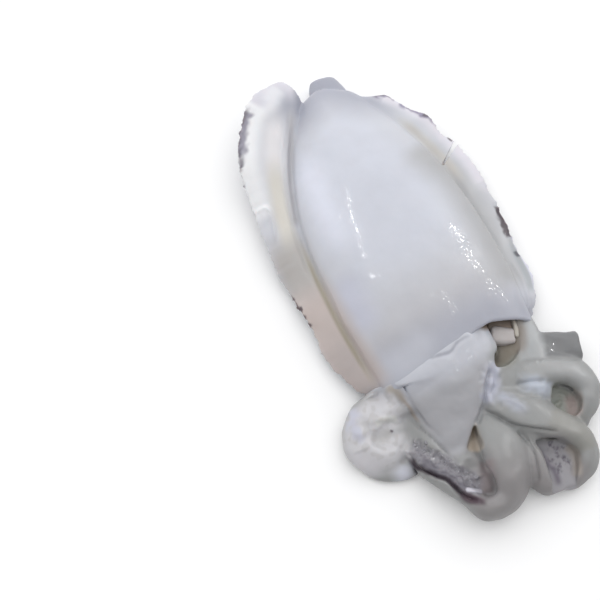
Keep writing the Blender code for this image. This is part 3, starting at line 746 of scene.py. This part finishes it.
torsoWet = (
    (((-13.7, 96.8), (-15.1, 91.3), (-17.7, 84), (-18.6, 77.7), (-20, 69.4), (-22.2, 61)), 2.0),
    (((24.5, 55.7), (26.3, 47.6), (25.4, 40), (26.4, 33), (27.4, 27.3), (27.6, 22.6), (26.6, 17.8)), 3.4),
    (((-24.1, 50.4), (-19, 47.3)), 1.8), (((-25, 83.7), (-22.9, 84.5)), 1.4),
    (((4, 26), (5, 21.5), (5.2, 17)), 2.4), (((-3.2, 30.6), (-1, 27.7)), 1.6),
    (((31.7, 19), (32.2, 12.8)), 1.8), (((-27, 152.6), (-27.6, 148.8)), 2.0),
    (((-54.3, 112), (-51, 114.2), (-53.5, 106)), 1.6), (((5, 166.6), (11, 164.5), (15, 161)), 2.0),
)
tear = {"start": (45.8, 97.0), "end": (63.0, 109.5), "widths": (0.6, 3.2), "heights": (-5.0, 30.0)}
torsoBuild = {
    "mantleGrid": (180, 200), "finGrid": (72, 260), "tailGrid": (40, 40), "voxel": 0.8,
    "softening": 3, "unevenness": ((12.0, 0.3), (3.0, 0.04)), "lastSoftening": 1, "base": (214, 216, 224),
}


def uprightCutter(name, corners, high):  # a prism on a face whose corners are in metres
    mesh = bmesh.new()
    face = mesh.faces.new([mesh.verts.new(corner) for corner in corners])
    made = bmesh.ops.extrude_face_region(mesh, geom=[face])
    top = [item for item in made["geom"] if isinstance(item, bmesh.types.BMVert)]
    bmesh.ops.translate(mesh, verts=top, vec=(0, 0, high * mm))
    bmesh.ops.recalc_face_normals(mesh, faces=mesh.faces)
    return objectFrom(mesh, name)


def tearCutter():  # a thin wedge that opens towards the rim of the right fin
    start, end = Vector(tear["start"]), Vector(tear["end"])
    along = (end - start).normalized()
    across = Vector((-along.y, along.x)) / 2
    low, high = tear["heights"]
    narrow, broad = tear["widths"]
    corners = (start - across * narrow, end - across * broad, end + across * broad, start + across * narrow)
    return uprightCutter("tearCutter", [(c.x * mm, c.y * mm, low * mm) for c in corners], high - low)


def flattenUnderside(thing):  # what would lie under the surface rests on it
    points = pointsOf(thing)
    points[:, 2] = np.maximum(points[:, 2], 0.0)
    setPoints(thing, points)


def makeTorso():
    pieces = [skinFrom("mantleSkin", mantlePlace, *torsoBuild["mantleGrid"]),
              skinFrom("leftFinSkin", finPlace(leftFin), *torsoBuild["finGrid"]),
              skinFrom("rightFinSkin", finPlace(rightFin), *torsoBuild["finGrid"]),
              skinFrom("tailTipSkin", limbPlace(tailTip), *torsoBuild["tailGrid"])]
    torso = joined(pieces, "mantleAndFins")
    carvedWith(fused(torso, torsoBuild["voxel"]), [tearCutter()])
    softened(withoutCrumbs(torso), torsoBuild["softening"])
    shapeRelief(torso, torsoRelief)
    roughen(torso, torsoBuild["unevenness"])
    softened(torso, torsoBuild["lastSoftening"])
    flattenUnderside(torso)
    paint(torso, torsoBuild["base"], torsoPaint)
    markWet(torso, torsoWet)
    return settled(torso, fleshMaterial("mantleFlesh", fleshLook))


# The funnel, head and arms

headRelief = {
    "funnelRight": relief(((11, -14), (5, -19), (1.5, -24), (-2, -28.5), (-6, -32.5), (-10.5, -35.5)), 1.0,
        deep=1.5, fold=-0.5, foldReach=3.0),
    "funnelLeft": relief(((-38, -2), (-36.3, -8), (-34.1, -15), (-33, -22), (-31, -30.5), (-28.8, -37.2),
        (-27, -43)), 1.1, deep=0.9, fold=0.6, foldReach=3.5),
    "frontTop": relief(((-3, -29), (1.5, -36), (6, -43), (12, -48.5), (18, -52), (24, -56)), 0.9, deep=1.5,
        fold=0.8, foldReach=2.5),
    "frontRight": relief(((6.5, -46), (9, -53), (8.4, -60), (6, -67), (3, -73)), 0.9, deep=1.3, fold=-0.5,
        foldReach=2.5),
    "secondRight": relief(((11, -52), (12.3, -60), (12.4, -67), (10, -75)), 0.9, deep=1.0, fold=-0.4,
        foldReach=2.0),
    "webLine": relief(((6.6, -28.1), (12, -32), (18, -34.5), (25, -37)), 1.0, deep=0.5),
    "underRight": relief(((17, -26.5), (24, -28.5), (31, -31.5)), 1.0, deep=0.9),
    "upperRight": relief(((31, -21.5), (38, -22.5), (46, -26), (54, -29)), 1.0, deep=0.8),
    "darkLine": relief(((-44, -31), (-43.6, -40), (-39.3, -46.7), (-34.6, -52), (-33, -57.5),
        (-30.6, -63.4), (-25.6, -68.4)), 0.9, deep=1.8, fold=0.6, foldReach=2.5),
    "suckerBed": relief(((-42, -26), (-40, -34), (-35.5, -41.5), (-30, -48.5), (-26.5, -56), (-23, -64)),
        7.0, bumps=1.4, size=2.8),
    "creasedWeb": relief(((10, -10), (7, -19), (2, -28), (8, -34)), 7.5, bumps=0.9, size=3.6),
    "filler": relief(((-20, -45), (-19, -52), (-19.5, -59)), 7.0, bumps=1.2, size=5.0),
    "foldsA": relief(((36, -38), (38, -43), (39, -48)), 6.0, bumps=1.1, size=2.6),
    "foldsB": relief(((19, -58), (20, -66), (18, -76)), 8.0, bumps=0.8, size=2.4),
    "lumpRidge": relief(((-56, -12), (-50, -12), (-44, -14), (-40, -18)), 1.3, deep=-0.9),
    "lumpFold": relief(((-40, -22), (-46, -22), (-53, -20), (-58, -15)), 1.8, deep=0.4),
    "lump": relief(((-46, -12), (-56, -16), (-58, -24)), 14.0, bumps=1.2, size=5.0),
    "webCrease1": relief(((9.5, -9), (8.5, -15), (5, -21), (1, -27)), 0.8, deep=0.6, fade=0.3),
    "webCrease2": relief(((11.5, -16), (8, -22), (3.5, -27), (1.5, -31)), 0.7, deep=0.6, fade=0.3),
    "webCrease3": relief(((5, -13), (5, -19), (1.5, -24)), 0.9, deep=0.5, fade=0.35),
    "webCrease4": relief(((4, -27), (9, -31), (13, -37), (14, -43)), 0.9, deep=-0.6, fade=0.35),
}
lipRelief = {
    "lipWrinkle": relief(((-17, 1.0), (-13, 0.6), (-6, -0.6), (0, 2.2), (8, 2.8)), 0.9, deep=0.3),
}
cavities = {
    "behindRightArm": {"outline": ((34.5, -34), (40, -36.5), (43.5, -41.5), (43.5, -47), (40, -51),
                                   (35.5, -51), (31.5, -47), (30, -41)), "floor": 7.5},
    "insideLowerRightArm": {"outline": ((13, -54.5), (20, -56), (25.5, -60), (28.5, -66), (26.5, -72),
                                        (23, -78), (18, -86), (8, -84), (10, -75), (11.5, -68),
                                        (13, -61)), "floor": 8.5},
    "frontGap": {"outline": ((20, 12), (28, 11), (35.5, 8), (34.5, -2), (31, -8), (25.5, -13.5), (18, -16),
                             (12.8, -14.6), (14.6, -9.5), (18.5, -5)), "floor": 10.0, "slope": (0.26, -0.2)},
    "besideFunnelTip": {"outline": ((-9.4, -34.5), (-13.5, -38), (-18, -43), (-16.5, -45.5),
                                    (-12.5, -46.5), (-10.5, -40)), "floor": 8.0, "slope": (0.0, -0.4)},
}
lipFlush = {"line": ((-43, 0), (-32, 0.5), (-20, 1.5), (-8, 3.5), (4, 5), (16, 6)), "behind": 5.0,
            "ahead": 11.0, "rounding": 1.8, "film": 0.2, "dive": 0.5, "endsFrom": (0.8, 0.98),
            "facing": (0.2, 0.6), "lowest": 8, "least": 0.01}
headBuild = {
    "bodyGrid": (96, 96), "neckGrid": (48, 64), "armGrid": (48, 120), "voxel": 0.8, "finerVoxel": 0.6,
    "cutHeight": 40, "softening": 10, "unevenness": ((8.0, 0.6), (3.0, 0.1)), "lastSoftening": 2,
    "base": (157, 158, 158),
}
rayStart = 80  # above everything
headPaint = {
    "funnel": area(((-38, 2), (12, 6), (10, -12), (0, -28), (-10, -36), (-18, -44), (-28, -42), (-33, -20)),
        (179, 179, 184), 2, 5),
    # bluish, and painted lighter against the shade of the mantle's lip: partly painted light
    "funnelTopPaintedLight": stroke(((-34, 2), (-10, 0), (10, 4)), (206, 208, 217), 17, 12, fade=0.0),
    "frontShade": stroke(((-30, -62), (-6, -72), (12, -74), (32, -72)), (150, 147, 148), 30, 26),
    "rightShade": stroke(((24, -46), (33, -58), (33, -70)), (150, 149, 144), 12, 10, strength=0.8),
    "upperArm": stroke(((34, -13), (46, -17), (58, -22)), (121, 122, 124), 10, 6, fade=0.0),
    "neck": stroke(((38, 8), (36, -8), (31, -20)), (178, 180, 182), 9, 6),
    "rightArm": stroke(((24, -25), (38, -27), (50, -38), (46, -48)), (172, 173, 174), 7, 6),
    "whiteWeb": stroke(((9, -10), (10, -16), (7, -21), (3, -26), (0, -30)), (190, 192, 206), 6.5, 5.5,
        ragged=2.2, fade=0.2),
    "whiteWeb2": stroke(((2, -26), (8, -30), (12, -37), (14, -43)), (180, 183, 194), 5, 5, ragged=1.6,
        fade=0.4),
    "whiteWeb3": stroke(((17, -26), (24, -29), (29, -34), (32, -40)), (192, 198, 210), 6.5, 6, ragged=1.6,
        fade=0.35),
    "frontGapWall": area(((15, 14), (36, 10), (34, -5), (30.5, -11), (25.5, -17), (18, -19), (12, -17),
        (12.5, -11), (17, -5)), (122, 113, 103), 0.3, 1.8, under=16.5),
    "frontGapDeep": stroke(((18, 8), (26, 7), (34, 4)), (150, 134, 122), 6, 3, fade=0.0),
    "frontGapLow": area(((18, -4), (34, -6), (31, -12), (25, -17.5), (18, -19), (12, -16.5), (13, -10)),
        (130, 122, 109), 1.0, 3.0, under=15.5),
    "frontGapLeft": stroke(((19.5, 1), (17.5, -5), (14.5, -12)), (104, 100, 91), 4.5, 4.0, under=15.5,
        fade=0.05, strength=0.8),
    # painted light: the gap's lit right wall, painted lighter against its shade
    "frontGapRightPaintedLight": stroke(((35, 7), (34.5, 1), (33, -5)), (186, 182, 177), 3.5, 3.0, fade=0.3),
    "frontGapFoot": stroke(((14, -13.5), (18, -16), (23, -15), (27, -12)), (146, 146, 139), 3.4, 3.4,
        strength=0.8, fade=0.3),
    "frontGapRim": stroke(((35.5, 2), (34, -4), (31, -9.5), (26, -14.5)), (148, 138, 129), 4.2, 4.2,
        strength=0.7, fade=0.25),
    "tanGap": area(((-9.0, -34), (-14, -38), (-18.5, -43), (-16.5, -46), (-12, -47), (-10, -40)),
        (187, 175, 161), 0.6, 2.4),
    "tanGapTop": stroke(((-9.3, -34), (-11.5, -37), (-12, -39.5)), (172, 159, 145), 2.6, 2.6, fade=0.0,
        under=12.0),
    "cavityA": area(((34, -33.5), (40, -36), (44, -41.5), (44, -47.5), (40, -51.5), (35, -51.5),
        (31, -47.5), (29.5, -41)), (163, 166, 159), 0.3, 1.8),
    "cavityAPink": stroke(((41, -44), (39, -49)), (176, 162, 158), 5.0, 4.0, fade=0.0),
    "cavityB": area(((12.5, -54), (20, -55.5), (26, -59.5), (29, -66), (27, -72), (23.5, -78), (18, -87),
        (8, -85), (10, -75), (11.2, -68), (12.6, -61)), (163, 161, 166), 0.3, 2.4),
    "cavityBTan": stroke(((26.5, -62), (27.8, -67), (26.5, -72), (23, -78)), (170, 160, 150), 3.4, 3.0,
        under=13.0, strength=0.6),
    "cavityBEdge": stroke(((13.2, -57), (14, -63), (15.5, -70), (14, -78)), (122, 116, 128), 2.6, 2.6,
        under=12.0),
    "cavitySpots": spots(((19.8, -58.6), (21.6, -61), (21.0, -64.5), (22.4, -66.8), (18.8, -69.2),
        (17.2, -72), (16.4, -65.4), (25.6, -62.6), (23.8, -69.6)), (112, 106, 118), 1.6, 1.6,
        ragged=2.0, raggedSize=1.2, under=12.0),
    "suckerBand": stroke(((-41.5, -27), (-39, -37), (-33, -45), (-28, -52), (-24, -60), (-21, -65)),
        (144, 142, 148), 7.5, 5.0, ragged=2.4),
    "suckerHollows": stroke(((-41, -30), (-39, -37), (-33, -45), (-28, -52), (-24, -60), (-22, -64)),
        (118, 114, 124), 6.0, 3.0, patches=(1.2, 0.0, 0.4), strength=0.65),
    "suckerSlab": stroke(((-41.5, -38), (-37.5, -45), (-33.5, -51), (-30.5, -58), (-27, -63.5)),
        (112, 109, 118), 3.2, 2.2, ragged=1.0),
    # dark purple edge of the skin, partly painted shadow under the edge of the membrane
    "darkLine": stroke(((-44, -33), (-43.6, -40), (-39.3, -46.7), (-34.6, -52), (-33, -57.5),
        (-30.6, -63.4), (-26, -68)), (58, 48, 58), 1.9, 1.5, ragged=0.5),
    "darkEnd": stroke(((-33, -60), (-29.5, -64.8), (-26, -68), (-22.5, -70)), (80, 62, 72), 3.2, 2.8,
        ragged=0.8, fade=0.3),
    "pinkFront": stroke(((-13.5, -52), (-17, -60), (-20, -66)), (150, 138, 140), 5, 4.5, strength=0.7),
    "flatGlint": stroke(((-28.3, -60.9), (-22.6, -63.8)), (206, 204, 214), 1.5, 0.8, fade=0.0),
    # painted shade in the crease where the funnel meets the mantle's lip
    "lipCreaseShade": stroke(((-17, 1.4), (-13, 1.2), (-6, 0.2), (0, 3.0), (8, 3.4)), (142, 144, 160), 1.3, 1.3,
        ragged=0.5, fade=0.3, strength=0.45),
    "lump": stroke(((-46, -10), (-58, -14), (-62, -22), (-52, -26)), (212, 211, 215), 15, 9, fade=0.0),
    "lumpMottle": stroke(((-46, -10), (-58, -14), (-62, -22), (-52, -26)), (186, 184, 183), 13, 5,
        patches=(3.0, 0.0, 0.25), strength=0.4, fade=0.0),
    # painted light: the lump's lower rim, where its surface turns down, painted lighter
    "lumpRimPaintedLight": stroke(((-68, -20), (-65, -28), (-57, -35)), (212, 210, 215), 5.5, 5, fade=0.3),
    "lumpShade": stroke(((-46, -19), (-53, -21), (-57, -17)), (186, 184, 182), 4, 4, ragged=1.5,
        strength=0.5),
    "lumpRidge": stroke(((-53, -13.5), (-47, -13.5), (-41, -15.5)), (222, 222, 220), 2.6, 2.6),
    "flap": stroke(((-58, -37.5), (-50, -39.5), (-42, -42)), (212, 214, 226), 6.0, 5, ragged=1.6, fade=0.5,
        under=6.0, strength=0.9),
    "lumpWhite": stroke(((-56, -1), (-60, -5), (-62.5, -10), (-62.5, -15), (-60, -19)),
        (203, 204, 217), 3.8, 3.4, ragged=2.0, fade=0.2),
    "lumpSpot": stroke(((-46.6, -19.2), (-46.2, -19.6)), (96, 84, 96), 0.9, 0.8, fade=0.0),
    # tan, partly painted shade in the crease at the funnel's left corner
    "tanNotch": stroke(((-41.5, 0), (-38.5, -2), (-36, -5.7), (-34, -12)), (182, 172, 160), 3.0, 3.0,
        fade=0.3, strength=0.8),
    # tan, partly painted shade darker along the crease at the funnel's left edge
    "tanEdge": stroke(((-36.5, -5), (-34.3, -11), (-33, -17), (-32, -23)), (160, 142, 122), 1.3, 1.3,
        fade=0.3, strength=0.55),
}
headWet = (
    (((-28, -36), (-31, -30)), 3.0), (((-7.7, -3), (-6, -7.8)), 2.6), (((24, -22), (30, -20)), 3.0),
    (((-38, -31), (-35, -40)), 3.0), (((-27.4, -46), (-24, -56)), 2.6), (((34.4, -23), (36, -22)), 1.6),
    (((44.6, -16.5), (42.3, -18.3)), 1.2), (((45.6, -41.6), (46.3, -44)), 1.8),
    (((-16.7, -73), (-16.2, -74)), 1.6), (((4, -1), (1, -6)), 2.4), (((38, 0), (36, -8)), 2.4),
)


def cavityCutter(name, outline, floor, slope=(0.0, 0.0)):  # its floor slopes from the first point
    firstX, firstY = outline[0]
    heights = [(x, y, floor + slope[0] * (x - firstX) + slope[1] * (y - firstY))
               for x, y in closedCurve(outline)]
    return uprightCutter(name, [Vector(height) * mm for height in heights], headBuild["cutHeight"])


def treeOf(thing):  # answers where a ray meets a finished piece
    return BVHTree.FromPolygons([vertex.co for vertex in thing.data.vertices],
                                [list(polygon.vertices) for polygon in thing.data.polygons])


def raiseToLip(thing, torso):  # the funnel's skin comes up to the mantle's edge, left and middle
    tree = treeOf(torso)
    points, normals = pointsOf(thing), normalsOf(thing)
    distance, side, share = nearLine(points[:, :2], lipFlush["line"])
    reach = np.where(side > 0, lipFlush["behind"], lipFlush["ahead"])
    weight = (1 - ease(distance / reach, 0.0, 1.0)) * (1 - ease(share, *lipFlush["endsFrom"]))
    weight *= ease(normals[:, 2], *lipFlush["facing"]) * (points[:, 2] > lipFlush["lowest"])
    for n in np.nonzero(weight > lipFlush["least"])[0]:
        x, y, z = points[n]
        over = y - frontEdge(x) - lipFlush["rounding"]
        start = Vector((x - boxMiddle[0], y - min(over, 0) - boxMiddle[1], rayStart)) * mm
        hit = tree.ray_cast(start, Vector((0, 0, -1)))[0]
        if hit is not None:
            top = hit.z / mm + lipFlush["film"] - lipFlush["dive"] * max(over, 0)
            points[n, 2] += weight[n] * (top - z)
    setPoints(thing, points)


def makeHead(torso):
    pieces = [skinFrom("funnelSkin", limbPlace(funnel), *headBuild["bodyGrid"]),
              skinFrom("headSkin", limbPlace(head), *headBuild["bodyGrid"]),
              skinFrom("neckSkin", limbPlace(neckSide), *headBuild["neckGrid"])]
    pieces += [skinFrom(name + "Skin", limbPlace(arm), *headBuild["armGrid"]) for name, arm in arms.items()]
    pieces += [ellipsoid("webSkin", centre, halfSize, turn) for centre, halfSize, turn in webs]
    whole = fused(joined(pieces, "headAndArms"), headBuild["voxel"])
    carvedWith(whole, [cavityCutter(name, **cavity) for name, cavity in cavities.items()])
    softened(fused(whole, headBuild["finerVoxel"]), headBuild["softening"])
    shapeRelief(whole, headRelief)
    roughen(whole, headBuild["unevenness"])
    raiseToLip(whole, torso)
    shapeRelief(whole, lipRelief)
    softened(whole, headBuild["lastSoftening"])
    flattenUnderside(whole)
    paint(whole, headBuild["base"], headPaint)
    markWet(whole, headWet)
    return settled(whole, fleshMaterial("armFlesh", fleshLook))


# Suckers on the arm that folds back, and the pale knob of cartilage in the gap beside the funnel

suckers = {
    "line": ((-41.5, -29), (-40.5, -33), (-38.4, -37.5), (-34.5, -43), (-30, -48.5), (-27.5, -55),
             (-24.5, -61.5)),
    "rows": 15, "slices": 50, "across": (1.8, 4.6), "radius": (0.6, 1.3), "lean": 0.8, "shift": 3.0,
    "gaps": 0.1, "profile": ((0.3, -0.05), (0.6, 0.1), (0.95, 0.0), (1.3, -0.6)), "sides": 12,
    "uneven": (0.25, 0.25, 0.4), "hollowWithin": 0.4, "colour": (154, 152, 158), "hollow": (138, 135, 141),
    "noiseScales": {"shift": 0.9, "gaps": 0.35, "radius": 1.7, "uneven": 1.3},
}
knob = {"turn": math.radians(-24), "bevel": 2.0, "bevelShare": 0.7, "bevelSegments": 4, "cuts": 2,
        "uneven": 1.0, "unevenScale": 180,
        "blocks": (((24.4, -1.5, 13.3), (6.2, 4.4, 4.7), (194, 188, 187)),
                   ((31.9, -1.0, 13.2), (1.3, 4.4, 4.4), (190, 184, 174)),
                   ((26.2, 4.2, 11.5), (6.8, 4.0, 3.8), (166, 150, 138)))}


def suckerPlaces():  # two rows along the line, staggered
    places = []
    line, rows, slices = level(suckers["line"]), suckers["rows"], suckers["slices"]
    for row in range(rows):
        share = (row + 0.5) / rows
        here, ahead = curvePoint(line, share), curvePoint(line, share + 1 / slices)
        along = (ahead - here).normalized()
        across = Vector((-along.y, along.x, 0))
        for n, offset in enumerate(suckers["across"]):
            step = 0.5 * (n % 2) * (ahead - here).length * slices / rows
            places.append(here + across * offset + along * step)
    return places


def suckerCup(place):  # a shallow cup of radius 1, a little different at each place
    cup = bmesh.new()
    rings = []
    for reach, height in suckers["profile"]:
        ring = bmesh.ops.create_circle(cup, segments=suckers["sides"], radius=reach)["verts"]
        bmesh.ops.translate(cup, verts=ring, vec=(0, 0, height))
        rings.append(ring)
    for inner, outer in zip(rings, rings[1:]):
        for k in range(len(inner)):
            nextK = (k + 1) % len(inner)
            cup.faces.new((inner[k], outer[k], outer[nextK], inner[nextK]))
    bmesh.ops.holes_fill(cup, edges=cup.edges)
    bmesh.ops.recalc_face_normals(cup, faces=cup.faces)
    for vertex in cup.verts:
        bend = noise.noise(vertex.co * suckers["noiseScales"]["uneven"] + place)
        vertex.co += Vector(suckers["uneven"]) * bend
    return cup


def makeSuckers(arm, material):
    whole = bmesh.new()
    tree = treeOf(arm)
    scales = suckers["noiseScales"]
    colours = []
    for place in suckerPlaces():
        shake = noise.noise_vector(place * scales["shift"])
        if noise.noise(place * scales["gaps"]) > suckers["gaps"]:
            continue
        start = place + shake * suckers["shift"]
        start = Vector(((start.x - boxMiddle[0]) * mm, (start.y - boxMiddle[1]) * mm, rayStart * mm))
        hit, normal = tree.ray_cast(start, Vector((0, 0, -1)))[:2]
        if hit is None:
            continue
        low, high = suckers["radius"]
        radius = (low + (high - low) * (0.5 + 0.5 * noise.noise(place * scales["radius"]))) * mm
        lean = (normal + shake * suckers["lean"]).normalized()
        turn = lean.to_track_quat("Z", "Y").to_matrix().to_4x4()
        cup = suckerCup(place)
        for vertex in cup.verts:
            inside = vertex.co.to_2d().length < suckers["hollowWithin"]
            colours.append(linear(suckers["hollow" if inside else "colour"]))
        bmesh.ops.transform(cup, matrix=Matrix.Translation(hit) @ turn @ Matrix.Scale(radius, 4),
                            verts=cup.verts)
        cupMesh = bpy.data.meshes.new("cup")
        cup.to_mesh(cupMesh)
        cup.free()
        whole.from_mesh(cupMesh)
        bpy.data.meshes.remove(cupMesh)
    thing = objectFrom(whole, "suckers")
    setTint(thing, colours)
    return dressed(thing, material)


def makeKnob(name, centre, halfSize, colour, material):
    mesh = bmesh.new()
    bmesh.ops.create_cube(mesh, size=2.0)
    bmesh.ops.scale(mesh, verts=mesh.verts, vec=Vector(halfSize) * mm)
    bevel = min(knob["bevel"], knob["bevelShare"] * min(halfSize)) * mm
    bmesh.ops.bevel(mesh, geom=mesh.edges[:], offset=bevel, offset_type="OFFSET",
                    segments=knob["bevelSegments"], profile=0.5, affect="EDGES", material=-1)
    bmesh.ops.subdivide_edges(mesh, edges=mesh.edges[:], cuts=knob["cuts"], use_grid_fill=True)
    for vertex in mesh.verts:
        vertex.co += noise.noise_vector(vertex.co * knob["unevenScale"]) * knob["uneven"] * mm
    bmesh.ops.rotate(mesh, verts=mesh.verts, matrix=Matrix.Rotation(knob["turn"], 3, "Z"))
    bmesh.ops.translate(mesh, verts=mesh.verts, vec=Vector(centre) * mm)
    thing = objectFrom(mesh, name)
    setTint(thing, np.tile(linear(colour), (len(thing.data.vertices), 1)))
    return settled(thing, material)


torso = makeTorso()
print("mantle and fins:", len(torso.data.polygons), "faces")
headAndArms = makeHead(torso)
print("head and arms:", len(headAndArms.data.polygons), "faces")
armFlesh = headAndArms.data.materials[0]
suckerCups = makeSuckers(headAndArms, armFlesh)
print("suckers:", len(suckerCups.data.polygons), "faces")
for n, (centre, halfSize, colour) in enumerate(knob["blocks"]):
    makeKnob("cartilage" + str(n + 1), centre, halfSize, colour, armFlesh)


# Floor, light and camera

stageLook = {
    "floorSize": 3.0, "floorColour": (0.95, 0.95, 0.955), "floorRoughness": 0.8,
    "skyColour": (1.0, 1.0, 1.0), "brightSide": (0.3, 0.9, 0.75), "skyStrength": (0.6, 1.66),
}
lamps = {
    "leftGlint": {"towards": (-0.27, 0.30, 0.90), "along": (0.05, 0.3, 0.0), "power": 2.1},
    "rightGlint": {"towards": (0.80, 0.06, 0.58), "along": (-0.17, 0.25, 0.22), "power": 4.5},
    "frontGlint": {"towards": (0.33, -0.16, 0.93), "along": (0.15, 0.3, 0.0), "power": 1.0},
}
lampLook = {"distance": 0.9, "size": (0.02, 0.4), "colour": (1.0, 1.0, 1.0)}  # seen in reflections only
photoCamera = {"azimuth": -25.8, "elevation": 70.0, "distance": 0.52, "target": (-50.91, 16.51, 0.0),
               "lens": 60.0, "sensor": 36.0}


def makeFloor():
    mesh = bmesh.new()
    bmesh.ops.create_grid(mesh, x_segments=1, y_segments=1, size=stageLook["floorSize"] / 2)
    floor = objectFrom(mesh, "floor")
    material = bpy.data.materials.new("paleFloor")
    material.use_nodes = True
    shader = material.node_tree.nodes["Principled BSDF"]
    shader.inputs["Roughness"].default_value = stageLook["floorRoughness"]
    shader.inputs["Base Color"].default_value = (*stageLook["floorColour"], 1)
    floor.data.materials.append(material)


def makeLamp(name, lamp):  # a narrow strip, for the glints along the mantle
    light = bpy.data.lights.new(name, "AREA")
    light.shape = "RECTANGLE"
    light.size, light.size_y = lampLook["size"]
    light.energy = lamp["power"]
    light.color = lampLook["colour"]
    thing = bpy.data.objects.new(name, light)
    bpy.context.scene.collection.objects.link(thing)
    towards = Vector(lamp["towards"]).normalized()
    across = Vector(lamp["along"]).cross(towards).normalized()
    turn = Matrix((across, towards.cross(across), towards)).transposed()
    thing.rotation_euler = turn.to_euler()
    thing.location = towards * lampLook["distance"]
    thing.visible_diffuse = False


def makeWorld():  # a white sky, brighter on the side of the tail
    world = bpy.data.worlds.new("studio")
    bpy.context.scene.world = world
    world.use_nodes = True
    tree = world.node_tree
    background = tree.nodes["Background"]
    background.inputs["Color"].default_value = (*stageLook["skyColour"], 1)
    side = {1: Vector(stageLook["brightSide"]).normalized()}
    place = {0: addNode(tree, "TexCoord").outputs["Generated"]}
    facing = addNode(tree, "VectorMath", side, place, "DOT_PRODUCT")
    glow = addRange(tree, facing.outputs["Value"], given=stageLook["skyStrength"], blend="SMOOTHSTEP")
    tree.links.new(glow, background.inputs["Strength"])


def makeCamera():
    azimuth, elevation = math.radians(photoCamera["azimuth"]), math.radians(photoCamera["elevation"])
    back = Vector((math.sin(azimuth) * math.cos(elevation), -math.cos(azimuth) * math.cos(elevation),
                   math.sin(elevation)))
    camera = bpy.data.objects.new("camera", bpy.data.cameras.new("camera"))
    bpy.context.scene.collection.objects.link(camera)
    camera.location = Vector(photoCamera["target"]) * mm + back * photoCamera["distance"]
    camera.rotation_euler = (math.radians(90) - elevation, 0, azimuth)
    camera.data.lens = photoCamera["lens"]
    camera.data.sensor_width = photoCamera["sensor"]
    bpy.context.scene.camera = camera


makeFloor()
makeWorld()
for name, lamp in lamps.items():
    makeLamp(name, lamp)
makeCamera()
bpy.context.scene.view_settings.view_transform = "Standard"
print("floor, lights and camera are in place")
